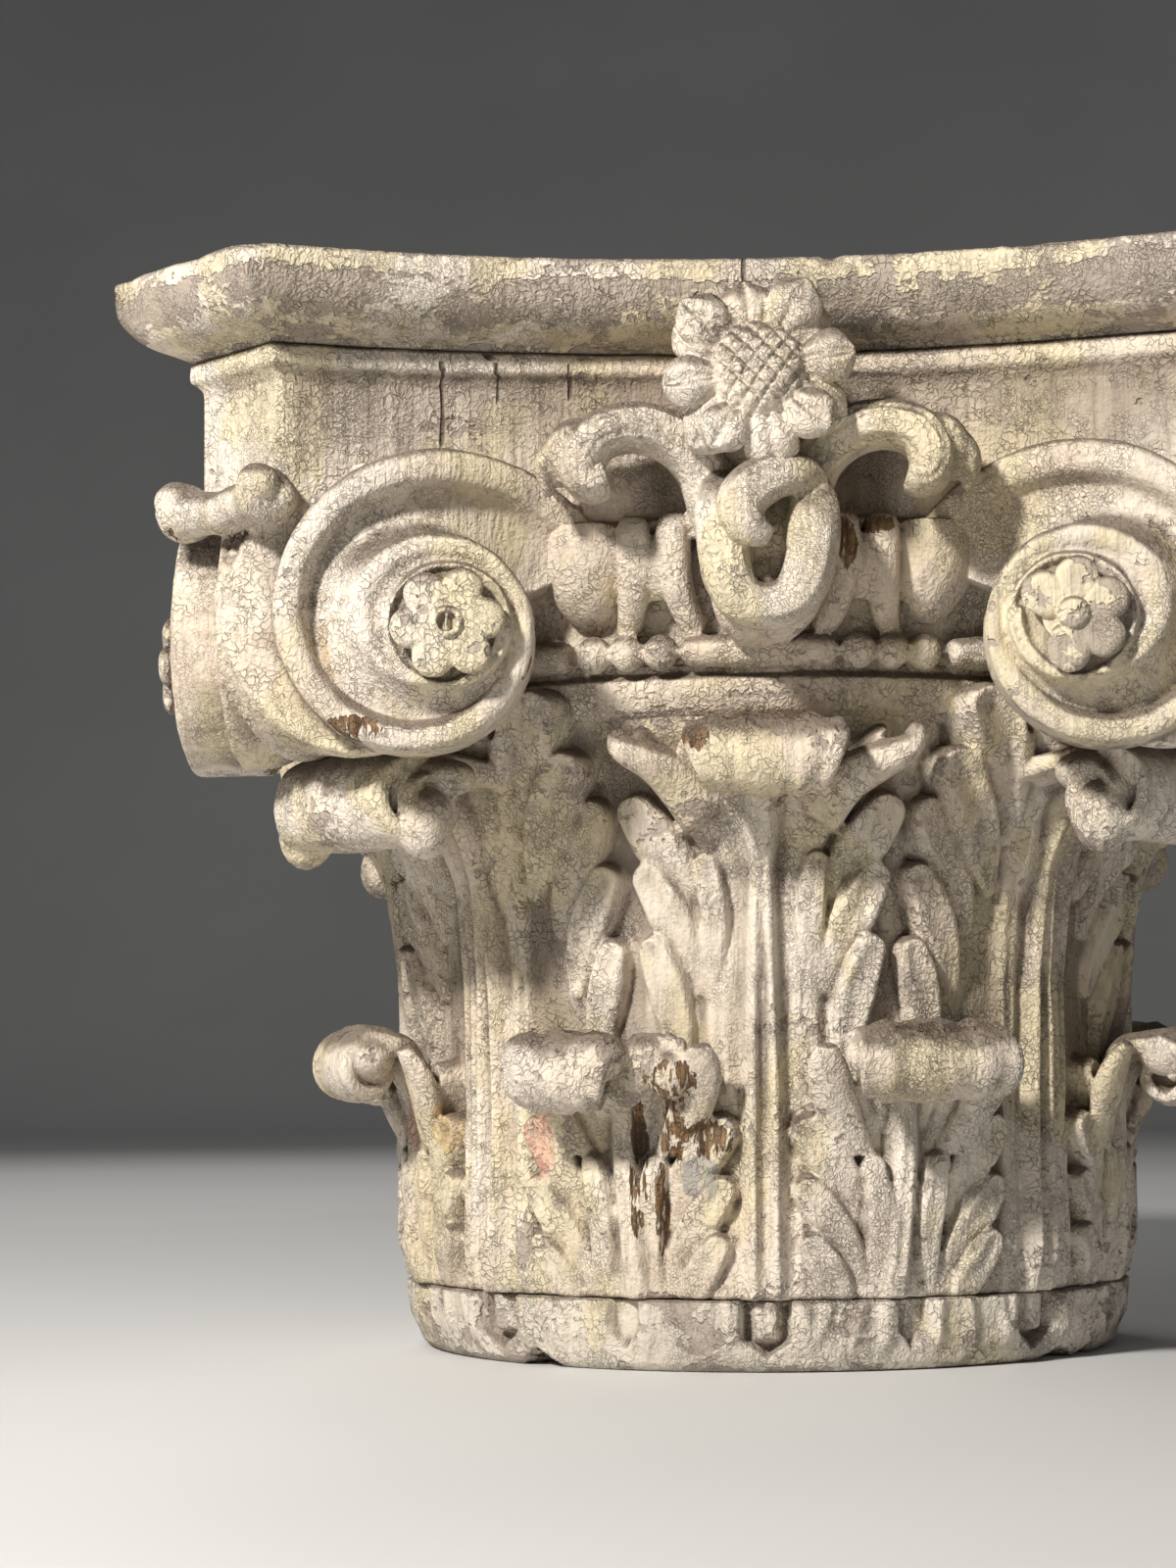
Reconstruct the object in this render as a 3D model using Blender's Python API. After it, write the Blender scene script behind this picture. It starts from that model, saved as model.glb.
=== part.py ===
"""Corinthian capital of the composite kind, carved in wood and painted.

Metres, +Z up. The origin is the centre of the underside, the front face looks along -Y.
Azimuths are in degrees from the front (-Y) towards +X. Everything repeats four times round the axis.
"""
import math

import bmesh
import bpy
from mathutils import Matrix, Vector

# Driving dimensions
HEIGHT = 0.450
FOOT_RADIUS = 0.154
JOINT_RADIUS = 0.163
JOINT_LOW = 0.030
JOINT_HIGH = 0.4165
GAP = 0.0003
SIDES = 4

# Slab (abacus): corner points (HORN_NEAR, HORN_FAR), mid-side at WAIST, all at its top edge
HORN_NEAR = 0.199
HORN_FAR = 0.265
WAIST = 0.2205
SLAB_UNDERCUT = 0.026
NECK_INSET = 0.031
LISTEL_INSET = 0.0265
LISTEL_BOTTOM = 0.4055
NECK_BOTTOM = 0.345
SLAB_SIDE_STEPS = 8

# Bell: radius at height, from the lower joint to the lip, then the moulded band under the neck
BELL = ((0.0300, 0.1605), (0.1600, 0.1595), (0.2050, 0.1640), (0.2400, 0.1730), (0.2740, 0.1890))
LIP = ((0.2755, 0.1925), (0.2830, 0.1925), (0.2850, 0.1870), (0.3000, 0.1865))
ECHINUS = ((0.3040, 0.1865), (0.3160, 0.1980), (0.3300, 0.2020), (0.3455, 0.2030), (0.3460, 0.1800),
           (0.4000, 0.1600))
BELL_SEGMENTS = 72
FOOT_SEGMENTS = 48
CARVING_GRAIN = 0.0026
CARVING_SHARE = 0.0128

# Lower leaves stand between the faces' centres, upper leaves on them
LOWER_AZIMUTH = 21.0
LOWER_CURL = dict(start=0.100, top=0.1415, tip=0.2110, roll=0.0185, width=0.074, root_width=0.046)
UPPER_CURL = dict(start=0.215, top=0.2655, tip=0.2230, roll=0.0185, width=0.070, root_width=0.050)
CORNER_CURL = dict(start=0.190, top=0.2570, tip=0.2570, roll=0.0230, width=0.084, root_width=0.044)
# Lobes of a half leaf: (tip azimuth, tip height, base azimuth, base height, width)
LOWER_LOBES = ((15.0, 0.118, 8.0, 0.076, 0.016), (16.5, 0.092, 8.5, 0.050, 0.015),
               (15.5, 0.062, 8.0, 0.026, 0.014))
UPPER_LOBES = ((17.5, 0.231, 12.5, 0.185, 0.019), (16.6, 0.204, 13.5, 0.145, 0.015),
               (18.0, 0.263, 9.0, 0.212, 0.022))
CORNER_LOBES = ((21.3, 0.231, 15.5, 0.185, 0.019), (22.3, 0.204, 18.0, 0.145, 0.015),
                (18.5, 0.272, 12.0, 0.205, 0.026))
LOBE_THICKNESS = 0.012
STALK_WIDTH = 0.017

# Volutes: eye centre of the left one of the front face, its face turned towards the middle
EYE = (-0.1220, -0.2370, 0.2990)
VOLUTE_TURN = 3.0
SPIRAL_TOP = 0.072
SPIRAL_RATE = 0.1126
SPIRAL_SHIFT = (0.0090, 0.0019)
SPIRAL_SETTLE = 450.0
SPIRAL_START = -66.0
SPIRAL_END = 640.0
SPIRAL_STEP = 12.0
RIBBON_WIDTH = 0.0105
RIBBON_DEPTH = 0.018
CHANNEL_DEPTH = 0.009
INFLOW = 0.026
EYE_RISE = 0.013
EYE_RADIUS = 0.0245
BOLSTER_PROFILE = (0.91, 0.91, 0.90, 0.92, 0.94, 0.90, 0.89, 0.93, 0.97, 0.98, 0.98, 0.98, 0.97)
BOLSTER_HOLLOW = 0.012
BOLSTER_POINTS = 36

ROSETTE_RADIUS = 0.0205
ROSETTE_DEPTH = 0.008
ROSETTE_PETALS = 6
BUTTON_RADIUS = 0.006

# Corner bar above each bolster
BAR_REACH = 0.3040
BAR_HEIGHT = 0.350
BAR_HALF = 0.029

# Front ornament on the neck
FLOWER = (0.0, -0.2330, 0.398)
FLOWER_RADIUS = 0.0390
FLOWER_PETALS = 12
BOSS_RADIUS = 0.0195
SCROLL_CENTRE = (0.0640, 0.3705)
EGG_AZIMUTH = 21.0
DART_AZIMUTH = 11.6
BEAD_HEIGHT = 0.2945
BEAD_RADIUS = 0.0066
BEAD_AZIMUTHS = (11.6, 15.9, 20.2)
REEL_AZIMUTH = 9.0


def clear_scene():
    """Remove every object of the scene."""
    for item in list(bpy.data.objects):
        bpy.data.objects.remove(item, do_unlink=True)


def polar(azimuth, radius, height):
    """Point at an azimuth in degrees from the front, a radius and a height."""
    turn = math.radians(azimuth)
    return Vector((radius * math.sin(turn), -radius * math.cos(turn), height))


def outward(azimuth):
    """Unit vector that points out from the axis."""
    return polar(azimuth, 1.0, 0.0)


def along(table, height):
    """Value of a (height, value) table at a height, in straight stretches."""
    if height <= table[0][0]:
        return table[0][1]
    for (low, a), (high, b) in zip(table, table[1:]):
        if height <= high:
            return a + (b - a) * (height - low) / (high - low)
    return table[-1][1]


def bell_radius(height):
    """Radius of the plain bell under the leaves."""
    return along(BELL, height)


def bezier(points, t):
    """Point of a Bezier curve with any number of control points."""
    points = [Vector(p) for p in points]
    while len(points) > 1:
        points = [a.lerp(b, t) for a, b in zip(points, points[1:])]
    return points[0]


def loft(bm, rings):
    """Closed skin through rings of equal count, capped at both ends."""
    rows = [[bm.verts.new(p) for p in ring] for ring in rings]
    count = len(rows[0])
    faces = []
    for low, high in zip(rows, rows[1:]):
        for i in range(count):
            j = (i + 1) % count
            faces.append(bm.faces.new((low[i], low[j], high[j], high[i])))
    faces.append(bm.faces.new(rows[0][::-1]))
    faces.append(bm.faces.new(rows[-1]))
    bmesh.ops.recalc_face_normals(bm, faces=faces)
    return faces


def oval(centre, side, up, width, height, count=6, power=1.0, start=0.5):
    """Ring of an oval, squarer with a power under 1; start is the first point's turn in steps."""
    ring = []
    for i in range(count):
        turn = 2.0 * math.pi * (i + start) / count
        c, s = math.cos(turn), math.sin(turn)
        c = math.copysign(abs(c) ** power, c)
        s = math.copysign(abs(s) ** power, s)
        ring.append(centre + side * (0.5 * width * c) + up * (0.5 * height * s))
    return ring


def sweep(bm, path, side, widths, heights, count=6, power=1.0, start=0.5):
    """Loft of ovals along a path; side is one vector or one for each point."""
    sides = side if isinstance(side, list) else [side] * len(path)
    rings = []
    for i, point in enumerate(path):
        ahead = path[min(i + 1, len(path) - 1)] - path[max(i - 1, 0)]
        up = sides[i].cross(ahead).normalized()
        rings.append(oval(point, sides[i], up, widths[i], heights[i], count, power, start))
    return loft(bm, rings)


def turned(bm, profile, segments):
    """Solid of revolution; the profile is (height, radius) from bottom to top."""
    rings = []
    for height, radius in profile:
        rings.append([polar(360.0 * i / segments, radius, height) for i in range(segments)])
    return loft(bm, rings)


def slab_outline(inset, height):
    """Concave-sided square with cut corners, moved in by inset."""
    sagitta = HORN_FAR - WAIST
    radius = (HORN_NEAR ** 2 + sagitta ** 2) / (2.0 * sagitta)
    # corner of the moved-in outline: where the moved arc meets the moved corner cut
    lean = math.asin(HORN_NEAR / radius)
    step = (math.sqrt(2.0) * math.cos(lean) - 1.0) / (math.sin(lean) + math.cos(lean))
    near = HORN_NEAR - step * inset
    far = HORN_FAR - (math.sqrt(2.0) - step) * inset
    arc = radius + inset
    reach = math.asin(near / arc)
    middle = -(arc * math.cos(reach) + far)
    ring = []
    for side in range(SIDES):
        spin = Matrix.Rotation(math.radians(90.0 * side), 3, "Z")
        for i in range(SLAB_SIDE_STEPS + 1):
            turn = reach * (2.0 * i / SLAB_SIDE_STEPS - 1.0)
            ring.append(spin @ Vector((arc * math.sin(turn), middle + arc * math.cos(turn), height)))
    return ring


def prism(bm, levels):
    """Slab-shaped body through (height, inset) levels."""
    return loft(bm, [slab_outline(inset, height) for height, inset in levels])


def lobe(bm, azimuth, sign, tip, base, width, lift):
    """One finger of a leaf, lying on the bell, thicker and rounder at its tip."""
    path = []
    for t in (0.0, 0.2, 0.4, 0.6, 0.8, 0.92, 0.98, 1.0):
        swing = base[0] + (tip[0] - base[0]) * (0.75 * t + 0.25 * t * t)
        height = base[1] + (tip[1] - base[1]) * t
        radius = bell_radius(height) + lift * (0.35 + 0.65 * min(1.0, 1.2 * t))
        path.append(polar(azimuth + sign * swing, radius, height))
    middle = azimuth + sign * 0.5 * (tip[0] + base[0])
    side = Vector((0, 0, 1)).cross(outward(middle)).normalized()
    widths = [width * k for k in (0.45, 0.75, 0.95, 1.0, 0.92, 0.7, 0.42, 0.15)]
    depths = [LOBE_THICKNESS * k for k in (0.5, 0.75, 0.9, 1.0, 1.0, 0.85, 0.6, 0.25)]
    sweep(bm, path, side, widths, depths, 10)


def barrel(bm, centre, axis, length, radius, count=20):
    """Rolled tip of a leaf: a drum with rounded ends."""
    rings = []
    up = Vector((0, 0, 1))
    across = axis.cross(up).normalized()
    for t, size in ((-1.0, 0.50), (-0.93, 0.78), (-0.8, 0.95), (-0.5, 1.0), (0.0, 0.95), (0.5, 1.0), (0.8, 0.95),
                    (0.93, 0.78), (1.0, 0.50)):
        rings.append(oval(centre + axis * (0.5 * length * t), across, up,
                          2 * radius * size, 2 * radius * size, count))
    loft(bm, rings)


def curl(bm, azimuth, curl_size):
    """Leaf tip: it leaves the bell, arches out and ends in a roll."""
    out = outward(azimuth)
    axis = Vector((0, 0, 1)).cross(out).normalized()
    start, top, roll = curl_size["start"], curl_size["top"], curl_size["roll"]
    root = bell_radius(start) + 0.004
    reach = curl_size["tip"] - roll
    path = []
    for t in (0.0, 0.15, 0.3, 0.45, 0.6, 0.75, 0.9, 1.0):
        r, z, _ = bezier(((root, start, 0), (root + 0.004, top - 0.012, 0), (reach, top - 0.007, 0)), t)
        path.append(out * r + Vector((0, 0, z)))
    wide, slim = curl_size["width"], curl_size["root_width"]
    widths = [slim + (wide - slim) * k for k in (0.0, 0.1, 0.25, 0.45, 0.65, 0.8, 0.88, 0.8)]
    sweep(bm, path, axis, widths, [0.012, 0.014, 0.015, 0.015, 0.015, 0.014, 0.013, 0.012], 14, 0.8)
    barrel(bm, out * reach + Vector((0, 0, top - roll)), axis, wide, roll)


def stalk(bm, azimuth, low, high, width, lift=0.009):
    """Midrib of a leaf: an upright band."""
    path = []
    for step in range(9):
        height = low + (high - low) * step / 8
        path.append(polar(azimuth, bell_radius(height) + lift - 0.002, height))
    sweep(bm, path, Vector((0, 0, 1)).cross(outward(azimuth)).normalized(),
          [width * (1.0 + 0.04 * k) for k in range(9)], [0.012] * 9, 12, 0.7)


def leaf(bm, azimuth, lobes, curl_size, low, lift):
    """A whole leaf: blade, midrib, lobes on both sides and the rolled tip."""
    stalk(bm, azimuth, low, curl_size["start"] + 0.012, STALK_WIDTH, lift)
    for tip_az, tip_z, base_az, base_z, width in lobes:
        for sign in (-1, 1):
            lobe(bm, azimuth, sign, (tip_az, tip_z), (base_az, base_z), width, lift)
    curl(bm, azimuth, curl_size)


def volute_frame(sign):
    """Eye centre, face normal and inward direction of a volute of the front face (sign -1 left, 1 right)."""
    turn = math.radians(VOLUTE_TURN)
    centre = Vector((-sign * EYE[0], EYE[1], EYE[2]))
    normal = Vector((-sign * math.sin(turn), -math.cos(turn), 0.0))
    inward = Vector((-sign * math.cos(turn), math.sin(turn), 0.0))
    return centre, normal, inward


def spiral(degrees):
    """Offset (inward, up) from the eye at a turn; 0 is the top, 90 the outer side."""
    turn = math.radians(degrees)
    radius = SPIRAL_TOP * math.exp(-SPIRAL_RATE * turn)
    fade = 1.0 - 0.8 * max(0.0, degrees - SPIRAL_SETTLE) / (SPIRAL_END - SPIRAL_SETTLE)
    across, rise = SPIRAL_SHIFT
    return -math.sin(turn) * radius - across * fade, math.cos(turn) * radius + rise * fade


def volute(bm, sign):
    """Raised spiral band of one volute, standing further out towards the eye."""
    centre, normal, inward = volute_frame(sign)
    up = Vector((0, 0, 1))
    steps = int((SPIRAL_END - SPIRAL_START) / SPIRAL_STEP)
    rings = []
    for i in range(steps + 1):
        degrees = SPIRAL_START + SPIRAL_STEP * i
        across, rise = spiral(degrees)
        edge = inward * across + up * rise
        away = edge.normalized()
        shrink = 1.0 - 0.25 * max(0.0, degrees) / SPIRAL_END
        wide = RIBBON_WIDTH * shrink * (0.45 if i == 0 else 1.0)
        front = EYE_RISE * max(0.0, degrees) / SPIRAL_END - INFLOW * (min(0.0, degrees) / SPIRAL_START) ** 2
        back = front - RIBBON_DEPTH
        outer, inner = centre + edge, centre + edge - away * wide
        rings.append([outer + normal * back, outer + normal * (front - 0.003), outer - away * 0.003 + normal * front,
                      inner + away * 0.002 + normal * front, inner + normal * (front - 0.002),
                      inner + normal * back])
    loft(bm, rings)


def bolster(bm):
    """Body between the two volutes of a corner: spiral outline at both ends, drawn in at its waist."""
    rings = []
    up = Vector((0, 0, 1))
    diagonal = outward(-45.0)
    across = Vector((math.sqrt(0.5), -math.sqrt(0.5), 0.0))
    eye = Vector(EYE)
    reach, half = eye.dot(diagonal), eye.dot(across)
    levels = [(k / 12.0, BOLSTER_PROFILE[abs(k)]) for k in range(-12, 13)]
    tilt = 45.0 - VOLUTE_TURN
    for t, size in levels:
        turn = math.radians(tilt * t)
        out = diagonal * math.cos(turn) - across * math.sin(turn)
        depth = half - CHANNEL_DEPTH
        centre = diagonal * (reach - BOLSTER_HOLLOW * (1 - t * t)) + across * (depth * t) + up * EYE[2]
        ring = []
        for i in range(BOLSTER_POINTS):
            sideways, rise = spiral(360.0 * i / BOLSTER_POINTS - 40.0)
            ring.append(centre + out * (-sideways * size) + up * (rise * size))
        rings.append(ring)
    loft(bm, rings)


def eye_drum(bm, sign, low, high, radius, count=14):
    """Round body on the axis of a volute's eye, its heights counted from the raised eye."""
    centre, normal, inward = volute_frame(sign)
    centre = centre + normal * EYE_RISE
    up = Vector((0, 0, 1))
    loft(bm, [oval(centre + normal * d, inward, up, 2 * radius, 2 * radius, count) for d in (low, high)])


def eye_seats(bm):
    """Room for the rosettes of one face."""
    for sign in (-1, 1):
        eye_drum(bm, sign, -0.002, 0.03, ROSETTE_RADIUS + 0.0012)


def corner_bar(bm):
    """Knuckle-ended bar across the corner, over the bolster."""
    diagonal = outward(-45.0)
    across = Vector((math.sqrt(0.5), -math.sqrt(0.5), 0.0))
    up = Vector((0, 0, 1))
    centre = diagonal * BAR_REACH + up * BAR_HEIGHT
    rings = []
    for t, size in ((-1.0, 0.5), (-0.93, 0.95), (-0.8, 1.12), (-0.65, 1.0), (-0.4, 0.80), (0.4, 0.80), (0.65, 1.0),
                    (0.8, 1.12), (0.93, 0.95), (1.0, 0.5)):
        lift = 0.004 * abs(t)
        rings.append(oval(centre + across * (BAR_HALF * 1.15 * t) + up * lift, diagonal, up,
                          0.020 * size, 0.017 * size, 14))
    loft(bm, rings)
    for t in (-1, 1):
        knob = centre + across * (BAR_HALF * 0.95 * t) + up * 0.007
        ball(bm, knob, 0.0088)


def ball(bm, centre, radius, rings=10, segments=14):
    """Small faceted ball."""
    made = bmesh.ops.create_uvsphere(bm, u_segments=segments, v_segments=rings, radius=radius)
    bmesh.ops.translate(bm, vec=centre, verts=made["verts"])


def petals(bm, centre, right, up, front, count, radius, depth):
    """Ring of round petals in one body: tips, valleys and a raised inner circle."""
    rings = []
    for level, tip, valley in ((-0.5, 0.95, 0.72), (0.5, 0.90, 0.60)):
        ring = []
        for i in range(count):
            for part, reach in ((-0.24, tip), (0.24, tip), (0.5, valley)):
                turn = 2 * math.pi * (i + 0.5 + part) / count
                ring.append(centre + (right * math.cos(turn) + up * math.sin(turn)) * (radius * reach)
                            + front * (depth * level))
        rings.append(ring)
    loft(bm, rings)


def sunflower(bm):
    """Round flower at the middle of a face: plug, ring of petals and domed heart."""
    centre = Vector(FLOWER)
    right, up, front = Vector((1, 0, 0)), Vector((0, 0, 1)), Vector((0, -1, 0))
    loft(bm, [oval(centre + front * d, right, up, 2 * r, 2 * r, 6)
              for d, r in ((-0.046, 0.022), (0.0, 0.024))])
    petals(bm, centre, right, up, front, FLOWER_PETALS, FLOWER_RADIUS, 0.012)
    loft(bm, [oval(centre + front * d, right, up, 2 * r, 2 * r, 8)
              for d, r in ((-0.004, BOSS_RADIUS), (0.012, BOSS_RADIUS), (0.020, BOSS_RADIUS * 0.55))])


def scroll_arms(bm):
    """Two stems that arch out from under the flower and curl down at their ends."""
    across, rise = SCROLL_CENTRE
    for sign in (-1, 1):
        points = [(0.012, -0.206, 0.352), (0.024, -0.209, 0.371), (0.045, -0.215, 0.386)]
        for turn in (70, 40, 10, -20, -50, -80, -110, -140, -170):
            spin = math.radians(turn)
            size = 0.0135 - 0.004 * (70 - turn) / 240
            points.append((across + size * math.cos(spin), -0.222, rise + size * math.sin(spin)))
        path = [Vector((sign * x, y, z)) for x, y, z in points]
        sweep(bm, path, Vector((0, -1, 0)), [0.030, 0.030, 0.034] + [0.036] * 7 + [0.032, 0.022],
              [0.016, 0.016, 0.018] + [0.019] * 5 + [0.017, 0.015, 0.012, 0.008], 12)


def folded_leaf(bm):
    """Leaf that hangs under the flower and folds over itself."""
    out = Vector((0, -1, 0))
    side = Vector((1, 0, 0))
    path = [Vector((0, y, z)) for y, z in ((-0.198, 0.372), (-0.216, 0.356), (-0.222, 0.338),
                                            (-0.224, 0.320), (-0.219, 0.304), (-0.205, 0.297))]
    sweep(bm, path, side, [0.034, 0.040, 0.050, 0.054, 0.040, 0.018], [0.020, 0.020, 0.022, 0.022, 0.018, 0.012],
          16, 0.9)
    for sign in (-1, 1):
        rim = []
        for turn in (105, 75, 45, 15, -15, -45, -75, -95):
            spin = math.radians(turn)
            rim.append(Vector((sign * 0.0165 * math.cos(spin), -0.232, 0.3200 + 0.021 * math.sin(spin))))
        sweep(bm, rim, out, [0.012] * 8, [0.007, 0.009, 0.011, 0.013, 0.013, 0.011, 0.009, 0.007], 10)


def egg(bm, azimuth):
    """Egg of the moulded row: flat at the top, rounded below."""
    side = Vector((0, 0, 1)).cross(outward(azimuth)).normalized()
    out = outward(azimuth)
    rings = []
    for height, wide, radius in ((0.3455, 0.035, 0.2045), (0.3380, 0.037, 0.2045), (0.3300, 0.036, 0.203),
                                 (0.3220, 0.032, 0.200), (0.3150, 0.026, 0.196), (0.3090, 0.017, 0.191),
                                 (0.3060, 0.009, 0.187)):
        rings.append(oval(polar(azimuth, radius - 0.004, height), side, out, wide, 0.024, 20))
    loft(bm, rings)


def dart(bm, azimuth):
    """Twin upright bars between an egg and the folded leaf."""
    for sign in (-1, 1):
        place = azimuth + sign * 2.6
        side = Vector((0, 0, 1)).cross(outward(place)).normalized()
        rings = [oval(polar(place, radius, height), side, outward(place), 0.0125, 0.017, 12, 0.7)
                 for height, radius in ((0.3470, 0.201), (0.3300, 0.2005), (0.3050, 0.191))]
        loft(bm, rings)


def bead_row(bm):
    """Beads and reels under the eggs."""
    centre = 0.1920
    for azimuth in BEAD_AZIMUTHS:
        for sign in (-1, 1):
            ball(bm, polar(sign * azimuth, centre, BEAD_HEIGHT), BEAD_RADIUS)
    path = [polar(REEL_AZIMUTH * t, centre, BEAD_HEIGHT) for t in (-1.0, -0.8, 0.0, 0.8, 1.0)]
    sizes = [2 * BEAD_RADIUS * k for k in (0.65, 1, 1, 1, 0.65)]
    sweep(bm, path, Vector((0, 0, 1)), sizes, sizes, 12)


def quarter(build):
    """Mesh made by build for one side, repeated round the axis."""
    bm = bmesh.new()
    build(bm)
    first = bm.verts[:] + bm.edges[:] + bm.faces[:]
    for side in range(1, SIDES):
        copy = bmesh.ops.duplicate(bm, geom=first)
        verts = [g for g in copy["geom"] if isinstance(g, bmesh.types.BMVert)]
        bmesh.ops.rotate(bm, cent=(0, 0, 0), matrix=Matrix.Rotation(math.radians(90 * side), 3, "Z"), verts=verts)
    return bm


def carve_leaves(bm):
    """Leaves of one face and of the corner at its left."""
    leaf(bm, 0.0, UPPER_LOBES, UPPER_CURL, JOINT_LOW - 0.003, 0.006)
    leaf(bm, -45.0, CORNER_LOBES, CORNER_CURL, JOINT_LOW - 0.003, 0.006)
    for sign in (-1, 1):
        leaf(bm, sign * LOWER_AZIMUTH, LOWER_LOBES, LOWER_CURL, JOINT_LOW - 0.003, 0.006)


def carve_quarter(bm):
    """Everything carved on one face and on the corner at its left."""
    carve_leaves(bm)
    for sign in (-1, 1):
        egg(bm, sign * EGG_AZIMUTH)
        dart(bm, sign * DART_AZIMUTH)
        volute(bm, sign)
        eye_drum(bm, sign, -0.026, 0.001, EYE_RADIUS)
    bolster(bm)
    corner_bar(bm)
    sunflower(bm)
    scroll_arms(bm)
    folded_leaf(bm)
    bead_row(bm)


def paint(name, colour, roughness):
    """Plain material of one piece."""
    material = bpy.data.materials.new(name)
    material.use_nodes = True
    shader = material.node_tree.nodes["Principled BSDF"]
    shader.inputs["Base Color"].default_value = (*colour, 1.0)
    shader.inputs["Roughness"].default_value = roughness
    shader.inputs["Metallic"].default_value = 0.0
    return material


def place(bm, name, material=None):
    """Object in the scene from a bmesh."""
    mesh = bpy.data.meshes.new(name)
    bm.to_mesh(mesh)
    bm.free()
    item = bpy.data.objects.new(name, mesh)
    bpy.context.scene.collection.objects.link(item)
    if material:
        mesh.materials.append(material)
    return item


def helper(bm, name):
    """Object that only takes part in a Boolean."""
    item = place(bm, name)
    item.hide_render = True
    item.display_type = "WIRE"
    return item


def fuse(item):
    """Make one skin of the overlapping carved forms, then keep fewest triangles where it is plain."""
    skin = item.modifiers.new("One skin", "REMESH")
    skin.mode = "VOXEL"
    skin.voxel_size = CARVING_GRAIN
    lighter = item.modifiers.new("Lighter", "DECIMATE")
    lighter.ratio = CARVING_SHARE


def combine(item, other, operation):
    """Exact Boolean of an object with a helper."""
    modifier = item.modifiers.new(operation.title(), "BOOLEAN")
    modifier.operation = operation
    modifier.solver = "EXACT"
    modifier.use_self = operation == "UNION"
    modifier.object = other


def half_space(name, low, high):
    """Wide box between two heights."""
    bm = bmesh.new()
    bmesh.ops.create_cube(bm, size=1.0)
    bmesh.ops.scale(bm, vec=(0.8, 0.8, high - low), verts=bm.verts)
    bmesh.ops.translate(bm, vec=(0, 0, 0.5 * (low + high)), verts=bm.verts)
    return helper(bm, name)


def make_block():
    """Main carved block between the two glue joints."""
    carving = quarter(carve_quarter)
    turned(carving, ((JOINT_LOW - 0.004, BELL[0][1]),) + BELL[1:] + LIP + ECHINUS, BELL_SEGMENTS)
    top = JOINT_HIGH
    prism(carving, ((NECK_BOTTOM, NECK_INSET), (LISTEL_BOTTOM, NECK_INSET), (LISTEL_BOTTOM + 0.002, LISTEL_INSET),
                    (top + 0.004, LISTEL_INSET)))
    block = place(carving, "carved_block", paint("aged_cream_paint", (0.66, 0.60, 0.51), 0.75))
    fuse(block)
    combine(block, half_space("above_joint", JOINT_HIGH - 0.5 * GAP, 0.6), "DIFFERENCE")
    combine(block, half_space("below_joint", -0.1, JOINT_LOW + 0.5 * GAP), "DIFFERENCE")
    combine(block, helper(quarter(eye_seats), "eye_seats"), "DIFFERENCE")
    return block


def make_slab():
    """Top board with a large quarter-round edge, and the flowers' top petals."""
    bm = bmesh.new()
    levels = [(JOINT_HIGH - 0.003, SLAB_UNDERCUT)]
    for turn in (-90, -62, -38, -16, 0):
        spin = math.radians(turn)
        levels.append((0.4445 + 0.0255 * math.sin(spin), SLAB_UNDERCUT * (1 - math.cos(spin))))
    levels += [(HEIGHT - 0.0012, 0.0), (HEIGHT, 0.0012)]
    prism(bm, levels)
    slab = place(bm, "abacus_slab", paint("aged_cream_paint_slab", (0.62, 0.56, 0.46), 0.75))
    combine(slab, helper(quarter(sunflower), "flowers"), "UNION")
    combine(slab, half_space("under_joint", 0.0, JOINT_HIGH + 0.5 * GAP), "DIFFERENCE")
    return slab


def base_pockets(bm):
    """Hollows where the two edges of each leaf stem part, on one face."""
    for azimuth, width in ((0.0, 0.026), (-45.0, 0.022), (-LOWER_AZIMUTH, 0.016), (LOWER_AZIMUTH, 0.016)):
        side = Vector((0, 0, 1)).cross(outward(azimuth)).normalized()
        rings = [oval(polar(azimuth, FOOT_RADIUS + 0.0085, height), side, outward(azimuth), width * size,
                      0.016 * size, 4, start=0.0)
                 for height, size in ((0.0075, 0.55), (0.013, 1.0), (0.021, 0.85), (0.026, 0.25))]
        loft(bm, rings)


def foot_notches():
    """Wedges broken out of the lower edge."""
    bm = bmesh.new()
    for azimuth, wide, tall in ((-37.5, 0.022, 0.0075), (52.0, 0.020, 0.006)):
        centre = polar(azimuth, FOOT_RADIUS, 0.0)
        made = bmesh.ops.create_cone(bm, cap_ends=True, segments=4, radius1=wide * 0.6, radius2=0.001, depth=tall + 0.004)
        bmesh.ops.translate(bm, vec=centre + Vector((0, 0, 0.5 * tall - 0.002)), verts=made["verts"])
    return helper(bm, "foot_notches")


def make_base():
    """Lower board, its foot edge worn round."""
    bm = bmesh.new()
    top = JOINT_LOW - 0.5 * GAP
    turned(bm, ((0.0, FOOT_RADIUS - 0.002), (0.003, FOOT_RADIUS + 0.002), (0.012, JOINT_RADIUS - 0.003),
                (top, JOINT_RADIUS)), FOOT_SEGMENTS)
    base = place(bm, "base_ring", paint("aged_cream_paint_foot", (0.60, 0.54, 0.46), 0.8))
    combine(base, helper(quarter(base_pockets), "pockets"), "DIFFERENCE")
    combine(base, foot_notches(), "DIFFERENCE")
    return base


def rosette_mesh():
    """Six round petals, face along +Z, seat at the origin."""
    bm = bmesh.new()
    front = Vector((0, 0, 1))
    petals(bm, front * (0.5 * ROSETTE_DEPTH), Vector((1, 0, 0)), Vector((0, 1, 0)), front, ROSETTE_PETALS,
           ROSETTE_RADIUS, ROSETTE_DEPTH)
    return bm


def button_mesh():
    """Round centre of a rosette."""
    bm = bmesh.new()
    up = Vector((0, 0, 1))
    loft(bm, [oval(up * d, Vector((1, 0, 0)), Vector((0, 1, 0)), 2 * r, 2 * r, 6)
              for d, r in ((0.0005, BUTTON_RADIUS), (0.0105, BUTTON_RADIUS * 0.8))])
    return bm


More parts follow.
